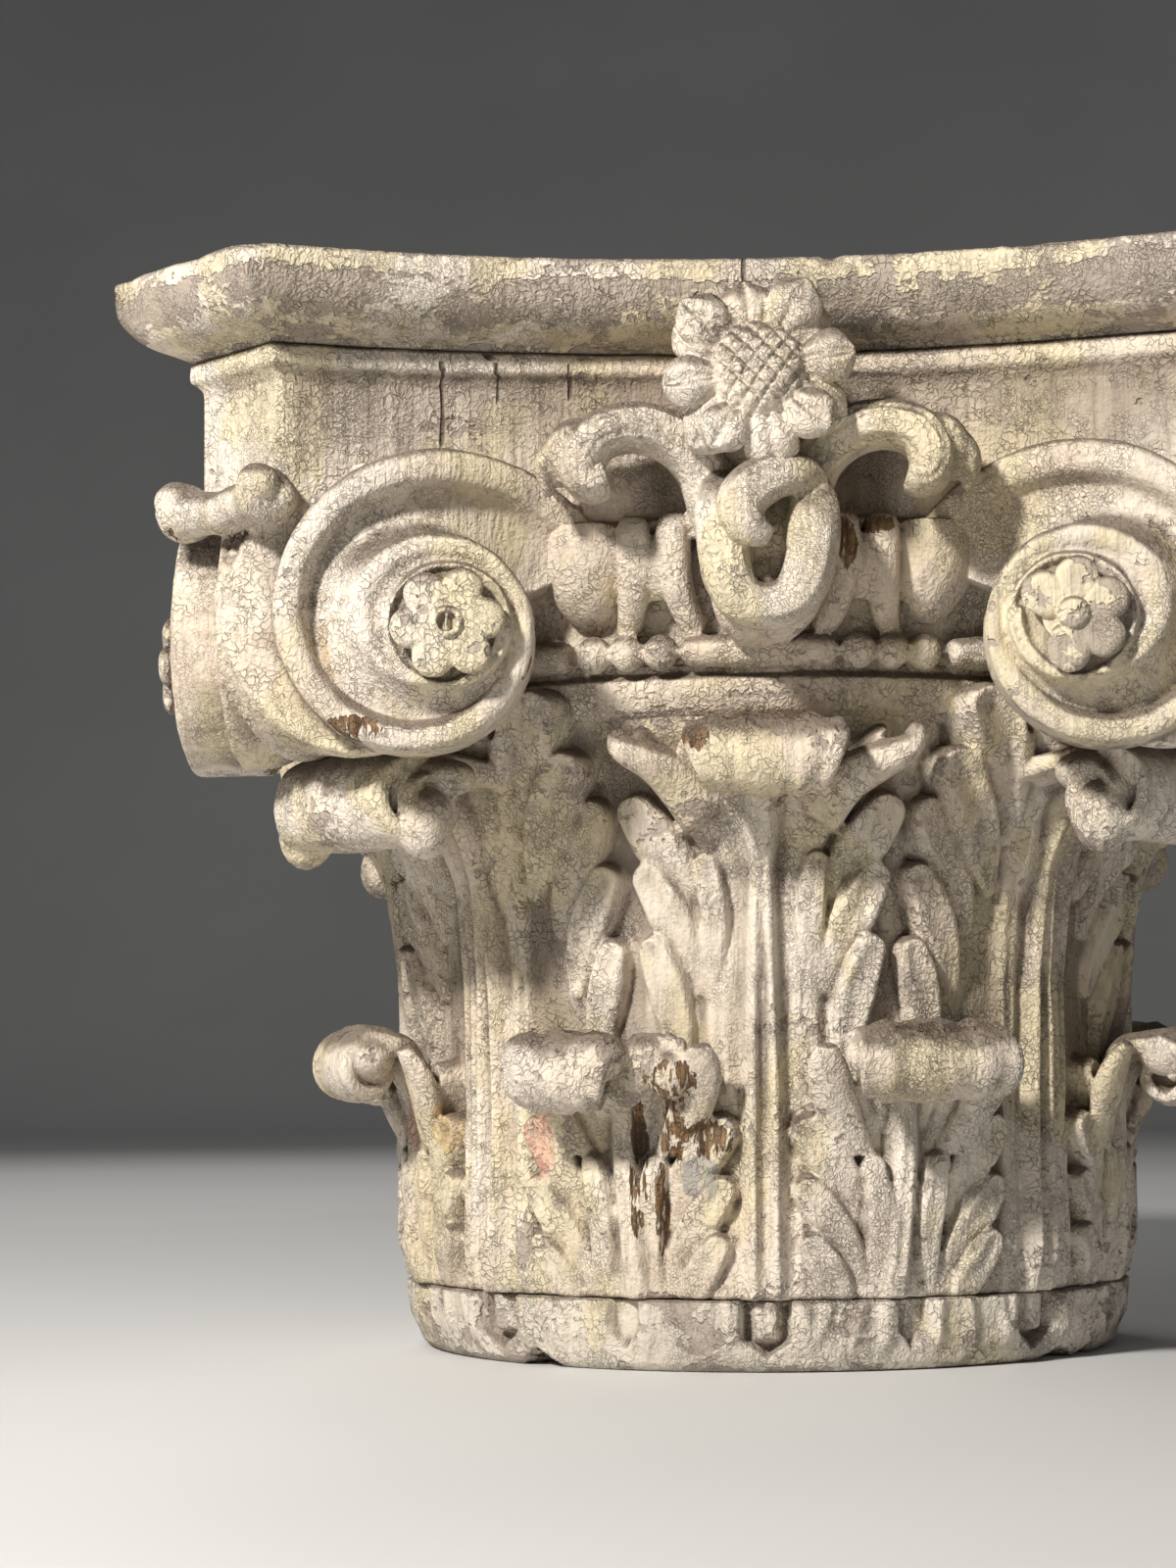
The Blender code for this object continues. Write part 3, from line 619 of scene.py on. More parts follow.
@dataclass
class Bell:
    """Bell of the capital with its two rows of leaves."""

    grain: float = 0.0011
    most: int = 196000
    columns: int = 1200
    rows: int = 262
    top: float = 0.290
    profile: tuple[tuple[float, float], ...] = (
        (0.0000, 0.1600), (0.0300, 0.1603), (0.1000, 0.1590), (0.1600, 0.1595), (0.2050, 0.1640), (0.2400, 0.1730),
        (0.2600, 0.1800), (0.2700, 0.1850), (0.2760, 0.1870), (0.2830, 0.1870), (0.3100, 0.1860), (0.36, 0.180))
    lower_at: float = 20.6
    upper_blade: tuple[float, ...] = (8.9, 8.2, 0.0150, 0.2640)
    corner_blade: tuple[float, ...] = (8.4, 7.5, 0.0200, 0.2760)
    lower_curl: Curl = Curl(0.108, 0.1415, 0.2105, 0.0185, 0.066, 0.034)
    upper_curl: Curl = Curl(0.228, 0.2655, 0.2230, 0.0185, 0.058, 0.036)
    corner_curl: Curl = Curl(0.200, 0.2580, 0.2580, 0.0240, 0.074, 0.040, taper=-0.008, veins=0.20)
    lower_lobes: tuple[Lobe, ...] = (
        Lobe((12.0, 0.1215), (4.6, 0.088), 0.0175, 0.0115), Lobe((14.4, 0.0985), (6.0, 0.062), 0.0190, 0.0110),
        Lobe((14.4, 0.0745), (7.0, 0.040), 0.0170, 0.0100), Lobe((13.8, 0.0520), (8.6, 0.022), 0.0150, 0.0095),
        Lobe((5.0, 0.0850), (4.6, 0.030), 0.0130, 0.0105, 0.12))
    upper_lobes: tuple[Lobe, ...] = (
        Lobe((16.6, 0.2290), (9.4, 0.184), 0.0220, 0.0120), Lobe((15.7, 0.2020), (9.8, 0.158), 0.0195, 0.0112),
        Lobe((15.5, 0.1730), (12.4, 0.124), 0.0175, 0.0105), Lobe((7.6, 0.2090), (8.2, 0.156), 0.0130, 0.0105, 0.12))
    corner_lobes: tuple[Lobe, ...] = (
        Lobe((21.7, 0.2280), (14.0, 0.184), 0.0215, 0.0120), Lobe((22.7, 0.2020), (16.0, 0.158), 0.0190, 0.0112),
        Lobe((23.2, 0.1720), (20.4, 0.124), 0.0170, 0.0105), Lobe((17.4, 0.2720), (9.0, 0.222), 0.0240, 0.0200, 0.22),
        Lobe((19.6, 0.2480), (10.0, 0.200), 0.0210, 0.0165, 0.2))

    def radius(self, z: Array) -> Array:
        """Radius of the plain bell at a height."""
        table = np.array(self.profile)
        return np.interp(z, table[:, 0], table[:, 1])

    @staticmethod
    def stem(u: Array, z: Array, half: float, flare: float, peel: float, top: float) -> Array:
        """Blade and twin-ridged midrib of an upper leaf.

        Args:
            u: degrees from the midrib.
            z: heights.
            half: half width of the blade in degrees.
            flare: degrees that it widens by at its top.
            peel: how far its top stands off the bell.
            top: height of its upper edge.

        Returns:
            Relief in metres.
        """
        rise = smooth(0.195, top, z)
        edge = half + flare * rise ** 1.4
        flat = (0.0045 + peel * rise ** 1.3) * (1 - smooth(edge - 1.3 - 1.5 * rise, edge + 0.2, abs(u)))
        brim = top - 0.013 * np.exp(-((abs(u) - 11.5) / 2.0) ** 2)
        flat = flat * (1 - smooth(brim - 0.002, brim + 0.0015, z))
        flat = flat - 0.0022 * np.exp(-((abs(u) - 0.62 * edge) / 1.6) ** 2) * rise
        part = 1.60 - 0.75 * smooth(JOINT_LOW + 0.08, 0.21, z)
        ridge = sum(np.exp(-((u - s * part) / 0.88) ** 2) for s in (-1, 1))
        groove = sum(np.exp(-((u - s * (part + 2.3)) / 0.8) ** 2) for s in (-1, 1))
        seam = np.exp(-((abs(u) - 6.0) / 0.35) ** 2)
        ribs = 0.0056 * np.clip(ridge, 0, 1) - 0.0022 * groove - 0.0008 * seam
        return flat + ribs * (1 - smooth(0.235, 0.255, z))

    def relief(self, azimuth: Array, z: Array) -> Array:
        """Relief of all leaves over the plain bell.

        Args:
            azimuth: in degrees from the front face.
            z: heights.

        Returns:
            Heights over the bell in metres.
        """
        ground = np.zeros_like(z)
        for side in (0, 1):
            for centre, lobes, blade in ((90.0 * side, self.upper_lobes, self.upper_blade),
                                         (90.0 * side - 45.0, self.corner_lobes, self.corner_blade)):
                u = off(azimuth, centre)
                window = abs(u) < 27.0
                uu, zz = u[window], z[window]
                value = np.maximum(self.stem(uu, zz, *blade), ground[window])
                for lobe in lobes:
                    for mirror in (-1.0, 1.0):
                        value = lobe.carve(value, uu, zz, mirror)
                ground[window] = value
            for sign in (-1, 1):
                u = off(azimuth, 90.0 * side + sign * self.lower_at)
                window = abs(u) < 20.0
                uu, zz = u[window], z[window]
                bent = uu + sign * 1.6 * smooth(0.10, 0.03, zz)
                body = 0.0030 * (1 - smooth(9.0, 12.0, abs(uu))) * (1 - smooth(0.112, 0.132, zz))
                rib = 0.0075 * np.exp(-(abs(bent) / 1.9) ** 4) * (1 - smooth(0.108, 0.125, zz))
                value = np.maximum(body + rib, ground[window])
                for lobe in self.lower_lobes:
                    for mirror in (-1.0, 1.0):
                        value = lobe.carve(value, uu, zz, mirror)
                seam = 0.0018 * np.exp(-(abs(bent) / 0.40) ** 2) * (1 - smooth(0.10, 0.12, zz))
                ground[window] = np.maximum(value, rib + 0.0020 * (rib > 0.001)) - seam
        return ground * (0.55 + 0.45 * smooth(0.030, 0.050, z))

    def skin(self, clay: Clay) -> None:
        """Put the relief surface, closed at both ends, into the clay.

        Args:
            clay: takes the forms.
        """
        az = np.linspace(-180, 180, self.columns, endpoint=False)
        z = np.linspace(JOINT_LOW + 0.0002, self.top, self.rows)
        azimuth, height = np.meshgrid(az, z)
        quarter = slice(0, self.columns // 4)
        depth = np.tile(self.relief(azimuth[:, quarter] + 180.0 - 45.0, height[:, quarter]), (1, 4))
        depth = np.roll(depth, self.columns // 8, 1)
        radius = self.radius(height) + depth
        ragged = 0.0012 + 0.0008 * np.sin(azimuth * 0.9) * np.sin(azimuth * 2.3)
        edge = np.exp(-((height - JOINT_LOW) / 0.0011) ** 2) * ragged
        radius = radius - edge
        turn = np.radians(azimuth)
        clay.loft(np.stack((radius * np.sin(turn), -radius * np.cos(turn), height), -1))

    def curls(self, clay: Clay, side: int) -> None:
        """Put the rolled tips of one face and of the corner at its left into the clay.

        Args:
            clay: takes the forms.
            side: number of the face, 0 to 3.
        """
        self.upper_curl.build(clay, 0.6, self.radius(self.upper_curl.start) + 0.004)
        for s, far, high in ((-1, 17.2, 0.2625), (1, 18.8, 0.2640)):
            horn = [polar(s * a, r, h) for a, r, h in (
                (7.0, 0.176, 0.226), (10.0, 0.183, 0.240), (far - 4.4, 0.191, 0.2485),
                (far - 1.2, 0.199, 0.2545), (far - 0.2, 0.201, high - 0.001))]
            clay.strip(horn, outward(s * 13.0), (0.022, 0.028, 0.028, 0.020, 0.008),
                       (0.022, 0.021, 0.0165, 0.0115, 0.006), 24, 20, 0.8)
        self.corner_curl.build(clay, -45.0, self.radius(self.corner_curl.start) + 0.004)
        for s in (-1, 1):
            clay.ball(outward(-45.0) * 0.233 + sideways(-45.0) * (s * 0.0395) + UP * 0.2250, (0.0120, 0.0120, 0.0150))
            clay.ball(outward(-45.0) * 0.222 + sideways(-45.0) * (s * 0.0380) + UP * 0.2440, (0.0140, 0.0110, 0.0085))
        for sign in (-1, 1):
            at = sign * self.lower_at
            root = float(self.radius(self.lower_curl.start)) + 0.005
            if side == 0 and sign == -1:
                self.lower_curl.build(clay, at, root, span=(-1.08, 0.22), lean=3.0)
                self.lower_curl.build(clay, at + 1.0, root, span=(0.05, 0.95), stop=0.27)
                for u, v, w in ((5.0, 0.128, 0.010), (8.5, 0.122, 0.009), (2.5, 0.119, 0.009)):
                    clay.ball(polar(at + u, 0.181, v), (w, w * 0.8, w * 1.15))
            else:
                self.lower_curl.build(clay, at, root, lean=-2.0 * sign)
            for s in (-1, 1):
                wing = [polar(at + s * a, r, h) for a, r, h in (
                    (7.0, 0.164, 0.090), (10.5, 0.171, 0.108), (12.2, 0.179, 0.124), (12.6, 0.186, 0.134))]
                clay.strip(wing, sideways(at + s * 11.0), (0.014, 0.019, 0.018, 0.009),
                           (0.008, 0.011, 0.010, 0.006), 18, 20)

    def build(self) -> None:
        """Make and dress the bell."""
        clay = Clay()
        self.skin(clay)
        clay.four_sides(self.curls)
        item = clay.to_object("carved_bell")
        one_skin(item, self.grain, self.most)
        weather(item, 0.00045, 0.00055, 1.0)
        self.dress(item)

    def dress(self, item: bpy.types.Object) -> None:
        """Stains and paint of the bell.

        Args:
            item: the object.
        """
        stain(item, (
            (Stain.BARE, polar(-11.5, 0.186, 0.116), (0.018, 0.020, 0.018), 0.50),
            (Stain.BARE, polar(-18.0, 0.168, 0.084), (0.006, 0.02, 0.040), 0.52),
            (Stain.BARE, polar(-12.5, 0.170, 0.100), (0.010, 0.02, 0.020), 0.52),
            (Stain.BARE, polar(-7.5, 0.170, 0.096), (0.013, 0.02, 0.012), 0.52),
            (Stain.BARE, polar(-14.5, 0.170, 0.066), (0.005, 0.02, 0.030), 0.50),
            (Stain.BARE, (-0.026, -0.216, 0.2570), (0.009, 0.020, 0.0090), 0.56),
            (Stain.BARE, (0.004, -0.214, 0.2660), (0.030, 0.020, 0.0040), 0.54),
            (Stain.BARE, polar(20.6, 0.203, 0.1410), (0.026, 0.020, 0.0035), 0.54),
            (Stain.BARE, polar(-22.0, 0.203, 0.1410), (0.026, 0.020, 0.0035), 0.54),
            (Stain.BLUE, polar(-9.0, 0.170, 0.080), (0.012, 0.02, 0.014), 0.66),
            (Stain.RED, polar(-34.0, 0.170, 0.096), (0.011, 0.02, 0.026), 0.66),
            (Stain.RED, polar(-31.5, 0.170, 0.118), (0.006, 0.02, 0.020), 0.68),
            (Stain.OCHRE, polar(-54.0, 0.170, 0.100), (0.012, 0.02, 0.016), 0.70),
            (Stain.RED, polar(-70.0, 0.170, 0.100), (0.02, 0.012, 0.02), 0.56),
            (Stain.BARE, polar(108.0, 0.170, 0.085), (0.02, 0.02, 0.030), 0.56),
            (Stain.BARE, polar(201.0, 0.170, 0.070), (0.02, 0.02, 0.034), 0.56),
            (Stain.RED, polar(158.0, 0.170, 0.095), (0.016, 0.02, 0.02), 0.56)))
        finish(item, AGED_CREAM.material(), ("carved_block",))


# ---------------------------------------------------------------- slab outline
def slab_outline(inset: float, height: float, steps: int = 72) -> Array:
    """Concave-sided square with cut corners, moved in by inset.

    Args:
        inset: how far its edge is moved in.
        height: of the outline.
        steps: parts of one side.

    Returns:
        Rows of positions.
    """
    half, corner, waist = 0.199, 0.265, 0.2205
    sagitta = corner - waist
    radius = (half ** 2 + sagitta ** 2) / (2 * sagitta)
    lean = math.asin(half / radius)
    step = (math.sqrt(2) * math.cos(lean) - 1) / (math.sin(lean) + math.cos(lean))
    near, far = half - step * inset, corner - (math.sqrt(2) - step) * inset
    arc = radius + inset
    reach = math.asin(near / arc)
    middle = -(arc * math.cos(reach) + far)
    turn = np.linspace(-reach, reach, steps + 1)
    one = np.stack((arc * np.sin(turn), middle + arc * np.cos(turn), np.full(steps + 1, height)), -1)
    end = one[-1]
    start = spin(one[:1], 90.0)[0]
    cut = end + (start - end) * np.linspace(0, 1, 14)[1:-1, None]
    face = np.vstack((one, cut))
    return np.vstack([spin(face, 90.0 * s) for s in range(4)])


# ---------------------------------------------------------------- crown: neck, volutes, mouldings
@dataclass
class Volutes:
    """The four corner pairs of volutes with their bolsters and bars."""

    eye: tuple[float, float, float] = (-0.1220, -0.2370, 0.2990)
    turn: float = 3.0
    top: float = 0.072
    rate: float = 0.1126
    shift: tuple[float, float] = (0.0090, 0.0019)
    settle: float = 450.0
    start: float = -66.0
    end: float = 640.0
    rise: float = 0.0130
    inflow: float = 0.041
    grain: float = 0.0013
    most: int = 196000
    waist: tuple[float, ...] = (0.905, 0.91, 0.90, 0.925, 0.945, 0.905, 0.885, 0.93, 0.965, 0.985, 0.975, 0.985,
                                0.975)

    def spiral(self, degrees: float) -> Array:
        """Offset (inward, up) from the eye; 0 is the top and 90 the outer side.

        Args:
            degrees: turn along the spiral.

        Returns:
            The two offsets in metres.
        """
        turn = math.radians(degrees)
        radius = self.top * math.exp(-self.rate * turn)
        fade = max(1 - 0.8 * max(0.0, degrees - self.settle) / (self.end - self.settle), 0.2)
        return np.array((-math.sin(turn) * radius - self.shift[0] * fade,
                         math.cos(turn) * radius + self.shift[1] * fade))

    def front(self, degrees: float) -> float:
        """How far the rim stands out at a turn."""
        return self.rise * min(1.0, max(0.0, degrees) / self.end) - self.inflow * self.sunk(degrees)

    def sunk(self, degrees: float) -> float:
        """How far the incoming ribbon is drawn back into the neck, 0 to 1.

        Args:
            degrees: turn along the spiral.

        Returns:
            The share.
        """
        low, high = math.sin(math.radians(self.start)), math.sin(math.radians(40.0))
        here = math.sin(math.radians(min(40.0, degrees)))
        return max(0.0, (high - here) / (high - low)) ** 1.7

    def frame(self, sign: int) -> tuple[Array, Array, Array]:
        """Eye centre, face normal and inward direction.

        Args:
            sign: -1 for the left volute, 1 for the right one.

        Returns:
            Three vectors.
        """
        turn = math.radians(self.turn)
        return (np.array((-sign * self.eye[0], self.eye[1], self.eye[2])),
                np.array((-sign * math.sin(turn), -math.cos(turn), 0.0)),
                np.array((-sign * math.cos(turn), math.sin(turn), 0.0)))

    def face(self, clay: Clay, sign: int) -> None:
        """Spiral rim with the hollow channel inside it.

        Args:
            clay: takes the forms.
            sign: -1 for the left volute, 1 for the right one.
        """
        centre, normal, inward = self.frame(sign)
        rings = []
        for degrees in np.arange(self.start, self.end + 1, 4.0):
            here, inner = self.spiral(degrees), self.spiral(degrees + 360.0)
            size = float(np.linalg.norm(inner))
            inner = inner * (max(size, 0.0225) / size)
            f, g = self.front(degrees), self.front(degrees + 360.0)
            span = here - inner
            wide = max(float(np.linalg.norm(span)), 0.004)
            rim = 0.0112 * (1 - 0.2 * max(0.0, degrees) / self.end) + 0.0025 * float(smooth(60.0, 0.0, degrees))
            rim = min(rim, 0.62 * wide)
            lip = rim / wide
            drop = min(0.0105, 0.50 * (wide - rim) + 0.001) * (0.35 + 0.65 * float(smooth(-66.0, 20.0, degrees)))
            drop *= 1.0 - 0.55 * float(smooth(200.0, 290.0, degrees))
            bow = 1.8 + 5.0 * float(smooth(70.0, -20.0, degrees))
            low = -0.030 - self.inflow * self.sunk(degrees)
            g -= (self.inflow + 0.004) * self.sunk(degrees) ** 0.8
            ring = [(0.0, low)] + [(t * lip, f + d) for t, d in (
                (0.0, -0.0030), (0.08, -0.0011), (0.25, -0.0001), (0.5, 0.0003), (0.78, -0.0002), (0.93, -0.0010),
                (1.0, -0.0026))]
            for k in (0.03, 0.07, 0.14, 0.25, 0.40, 0.55, 0.70, 0.84, 0.94, 1.0):
                floor = (f - drop) + (g - 0.0028 - f + drop) * k ** bow
                fall = float(smooth(0.0, 0.16, k))
                floor -= 0.0012 * math.sin(math.pi * k)
                ring.append((lip + (1 - lip) * k * 0.99, (f - 0.0026) * (1 - fall) + floor * fall))
            ring.append((0.99, low))
            rings.append([centre + inward * (here - span * t)[0] + UP * (here - span * t)[1] + normal * d
                          for t, d in ring])
        clay.loft(np.array(rings))
        turn = circle(48)
        drum = ((-0.030, 0.0252), (self.rise - 0.0040, 0.0252), (self.rise - 0.0016, 0.0246),
                (self.rise - 0.0010, 0.0236), (self.rise - 0.0020, 0.0228), (self.rise - 0.0042, 0.0222))
        clay.loft(np.array([[centre + normal * d + inward * (r * math.cos(a)) + UP * (r * math.sin(a)) for a in turn]
                            for d, r in drum]))

    def bolster(self, clay: Clay) -> None:
        """Body between the two volutes of the corner at the left.

        Args:
            clay: takes the forms.
        """
        diagonal, across = outward(-45.0), sideways(-45.0)
        eye = np.array(self.eye)
        reach, half = float(eye @ diagonal), float(eye @ across)
        sizes = values_through(self.waist, 49)
        rings = []
        for k in range(-48, 49):
            t = k / 48.0
            turn = math.radians((45.0 - self.turn) * t)
            out = diagonal * math.cos(turn) - across * math.sin(turn)
            centre = diagonal * (reach - 0.012 * (1 - t * t)) + across * ((half - 0.030) * t) + UP * self.eye[2]
            ring = []
            for i in range(72):
                inward, rise = self.spiral(360.0 * i / 72 + 4.0)
                ring.append(centre + out * (-inward * sizes[abs(k)]) + UP * (rise * sizes[abs(k)]))
            rings.append(ring)
        clay.loft(np.array(rings))

    @staticmethod
    def bar(clay: Clay) -> None:
        """Knuckle-ended bar across the corner, over the bolster.

        Args:
            clay: takes the forms.
        """
        diagonal, across = outward(-45.0), sideways(-45.0)
        centre = diagonal * 0.3040 + UP * 0.350
        t = np.linspace(-1, 1, 41)
        size = 0.80 + 0.34 * smooth(0.5, 0.85, abs(t)) - 0.75 * smooth(0.86, 1.02, abs(t)) ** 1.5
        path = centre + across * (0.0335 * t[:, None]) + UP * (0.004 * abs(t[:, None]))
        clay.sweep(path, diagonal, 0.025 * size, 0.0220 * size, 28)
        for s in (-1, 1):
            for d, lift in ((0.0045, 0.0075), (-0.0050, 0.0030)):
                clay.ball(centre + across * (s * 0.0285) + diagonal * d + UP * lift, (0.0088, 0.0088, 0.0084))

    def corner(self, clay: Clay, side: int) -> None:
        """Forms of one face and of the corner at its left.

        Args:
            clay: takes the forms.
            side: number of the face, 0 to 3; not used.
        """
        for sign in (-1, 1):
            self.face(clay, sign)
        self.bolster(clay)
        self.bar(clay)

    def build(self) -> None:
        """Make and dress the volutes."""
        clay = Clay()
        clay.four_sides(self.corner)
        item = clay.to_object("carved_volutes")
        one_skin(item, self.grain, self.most)
        weather(item, 0.00035, 0.00050, 4.0)
        x, y, z = self.eye
        stain(item, (
            (Stain.BARE, (x + 0.006, y, z - 0.0530), (0.034, 0.03, 0.0055), 0.60),
            (Stain.BARE, (x - 0.038, y, z - 0.040), (0.016, 0.03, 0.0080), 0.54),
            (Stain.BARE, (x + 0.034, y, z - 0.024), (0.008, 0.03, 0.0200), 0.50),
            (Stain.BARE, (x - 0.090, y + 0.05, z + 0.020), (0.012, 0.03, 0.010), 0.52),
            (Stain.BARE, (-0.238, -0.195, 0.347), (0.007, 0.012, 0.007), 0.62),
            (Stain.BARE, (0.185, 0.2, 0.26), (0.05, 0.05, 0.012), 0.55),
            (Stain.OCHRE, (x - 0.055, y + 0.02, z - 0.010), (0.02, 0.03, 0.03), 0.5)))
        finish(item, AGED_CREAM.material(), ("carved_block",))


@dataclass
class Neck:
    """Neck under the slab with the egg row, the beads, the scrolls and the folded leaf."""

    grain: float = 0.0013
    most: int = 190000
    bead_height: float = 0.2940

    @staticmethod
    def body(clay: Clay) -> None:
        """Plain neck and the turned mouldings under it.

        Args:
            clay: takes the forms.
        """
        levels = ((0.345, 0.034), (0.350, 0.031), (0.4020, 0.031), (0.4050, 0.0300), (0.4068, 0.0280),
                  (0.4080, 0.0262), (0.4100, 0.0258), (JOINT_HIGH - 0.0012, 0.0262), (JOINT_HIGH - 0.0002, 0.0275))
        clay.loft(np.array([slab_outline(i, h) for h, i in levels]))
        rows = ((0.2600, 0.150), (0.2660, 0.1815), (0.2705, 0.1872), (0.2740, 0.1892), (0.2768, 0.1908),
                (0.2828, 0.1915), (0.2842, 0.1900), (0.2860, 0.1868), (0.3000, 0.1862), (0.3030, 0.1866),
                (0.3120, 0.1900), (0.3250, 0.1935), (0.3400, 0.1945), (0.3445, 0.1990), (0.3480, 0.2000),
                (0.3484, 0.180), (0.40, 0.150))
        turn = circle(360)
        clay.loft(np.array([np.stack((r * np.sin(turn), -r * np.cos(turn), np.full(360, h)), -1) for h, r in rows]))

    @staticmethod
    def egg(clay: Clay, azimuth: float) -> None:
        """Egg with a flat top, its shell edge round it.

        Args:
            clay: takes the forms.
            azimuth: in degrees from the front face.
        """
        side, out = sideways(azimuth), outward(azimuth)
        t = np.linspace(0, 1, 22)
        height = 0.3462 - 0.0405 * t
        wide = 0.0360 * np.sqrt(np.clip(1 - (np.clip(t - 0.12, 0, 1) / 0.89) ** 2.3, 0.004, 1))
        wide = wide * (0.94 + 0.06 * smooth(0, 0.2, t))
        radius = 0.2020 - 0.0125 * t ** 1.7
        path = radius[:, None] * out + height[:, None] * UP
        rings = []
        turn = circle(36)
        for p, w, k in zip(path, wide, t):
            depth = 0.0135 * math.sqrt(max(0.05, 1 - k ** 3.0))
            rings.append([p + side * (0.5 * w * math.cos(a)) + out * (depth * math.sin(a)) for a in turn])
        clay.loft(np.array(rings))

    @staticmethod
    def dart(clay: Clay, azimuth: float) -> None:
        """Two legs joined at the top, a notch above and a wedge-shaped gap below.

        Args:
            clay: takes the forms.
            azimuth: in degrees from the front face.
        """
        for sign in (-1, 1):
            legs = [polar(azimuth + sign * a, r, h) for h, r, a in (
                (0.3470, 0.2030, 2.35), (0.3380, 0.2055, 2.30), (0.3240, 0.2030, 2.45), (0.3120, 0.1970, 3.10),
                (0.3040, 0.1915, 4.00))]
            clay.strip(legs, sideways(azimuth), (0.0120, 0.0138, 0.0136, 0.0124, 0.0110),
                       (0.012, 0.0145, 0.014, 0.012, 0.010), 28, 26, 0.72)
        web = [polar(azimuth, r, h) for h, r in (
            (0.3395, 0.2010), (0.3300, 0.2035), (0.3230, 0.2010), (0.3160, 0.1965))]
        clay.strip(web, sideways(azimuth), (0.012, 0.012, 0.010, 0.006), (0.010, 0.013, 0.012, 0.008), 20, 24, 0.8)

    def beads(self, clay: Clay) -> None:
        """Beads and reels.

        Args:
            clay: takes the forms.
        """
        centre = 0.1932
        for azimuth in (11.9, 16.1, 20.3):
            for sign in (-1, 1):
                clay.ball(polar(sign * azimuth, centre + 0.0012, self.bead_height), (0.0074, 0.0074, 0.0078))
        for low, high in ((-9.3, 9.3), (23.6, 33.0), (-33.0, -23.6)):
            t = np.linspace(-1, 1, 31)
            path = np.array([polar(0.5 * (low + high) + 0.5 * (high - low) * k, centre, self.bead_height) for k in t])
            size = 0.0146 * (0.93 + 0.07 * np.cos(3.1 * t) - 0.35 * smooth(0.9, 1.0, abs(t)))
            clay.sweep(path, UP, size, size, 24)

    @staticmethod
    def scrolls(clay: Clay) -> None:
        """Two thick stems that arch out from under the flower and hook down, with a fold outside each.

        Args:
            clay: takes the forms.
        """
        trunk = ((0, -0.192, 0.345), (0, -0.200, 0.356), (0, -0.206, 0.368), (0, -0.208, 0.385))
        clay.strip(trunk, RIGHT, (0.036, 0.044, 0.060, 0.084), (0.018, 0.020, 0.020, 0.016), 20, 40, 0.8, 0.12)
        for sign in (-1, 1):
            points = ((0.0120, -0.202, 0.334), (0.0170, -0.206, 0.352), (0.0230, -0.211, 0.3670),
                      (0.0350, -0.217, 0.3775), (0.0500, -0.222, 0.3805), (0.0635, -0.2245, 0.3765),
                      (0.0695, -0.2255, 0.3670), (0.0665, -0.226, 0.3595), (0.0600, -0.226, 0.3610))
            outs = (0.026, 0.028, 0.030, 0.032, 0.034, 0.037, 0.038, 0.034, 0.026)
            wide = (0.022, 0.0215, 0.0210, 0.0195, 0.0180, 0.0180, 0.0185, 0.0180, 0.0150)
            clay.ribbon([(sign * x, y, z) for x, y, z in points], outs, [1.06 * w for w in wide], 90, 0.16)
            for reach, drop, size in ((0.0, 0.0, 1.0), (0.0050, -0.004, 0.72)):
                fold = [(sign * (x + reach), y, z + drop) for x, y, z in (
                    (0.0620, -0.217, 0.3815), (0.0745, -0.222, 0.3790), (0.0805, -0.222, 0.3690),
                    (0.0780, -0.220, 0.3580))]
                clay.strip(fold, FRONT, [size * w for w in (0.020, 0.028, 0.028, 0.010)],
                           [size * d for d in (0.006, 0.0100, 0.0100, 0.005)], 24, 24)

    @staticmethod
    def folded_leaf(clay: Clay) -> None:
        """Leaf under the flower: a thick horseshoe round an oval hollow, its tongue flopped over the top.

        Args:
            clay: takes the forms.
        """
        back = ((0, -0.198, 0.374), (0.001, -0.208, 0.358), (0.0035, -0.2155, 0.342), (0.0040, -0.2170, 0.322),
                (0.003, -0.211, 0.306), (0.001, -0.200, 0.298))
        clay.strip(back, RIGHT, (0.040, 0.050, 0.052, 0.050, 0.040, 0.022),
                   (0.018, 0.020, 0.021, 0.021, 0.018, 0.012), 30, 32, 0.8)
        rim = ((-0.0140, -0.218, 0.3600), (-0.0150, -0.225, 0.3480), (-0.0140, -0.2285, 0.3340),
               (-0.0120, -0.2300, 0.3200), (-0.0065, -0.2290, 0.3100), (0.0040, -0.2285, 0.3070),
               (0.0145, -0.2295, 0.3105), (0.0200, -0.2315, 0.3210), (0.0220, -0.2315, 0.3340),
               (0.0225, -0.2285, 0.3460), (0.0215, -0.2220, 0.3580))
        clay.ribbon(rim, (0.012, 0.020, 0.024, 0.026, 0.024, 0.022, 0.024, 0.027, 0.026, 0.021, 0.012),
                    (0.014, 0.0200, 0.0210, 0.0200, 0.0185, 0.0180, 0.0190, 0.0205, 0.0210, 0.0200, 0.014), 100, 0.15)
        tongue = ((0.0255, -0.2270, 0.3560), (0.0140, -0.2350, 0.3590), (0.0010, -0.2385, 0.3550),
                  (-0.0065, -0.2405, 0.3460), (-0.0035, -0.2415, 0.3370), (0.0045, -0.2395, 0.3325))
        clay.ribbon(tongue, (0.010, 0.018, 0.021, 0.021, 0.018, 0.009),
                    (0.010, 0.0170, 0.0200, 0.0195, 0.0160, 0.008), 50, 0.14)

    def side(self, clay: Clay, side: int) -> None:
        """Ornament of one face.

        Args:
            clay: takes the forms.
            side: number of the face, 0 to 3; not used.
        """
        for sign in (-1, 1):
            self.egg(clay, sign * 21.3)
            self.dart(clay, sign * 11.9)
        self.beads(clay)
        self.scrolls(clay)
        self.folded_leaf(clay)

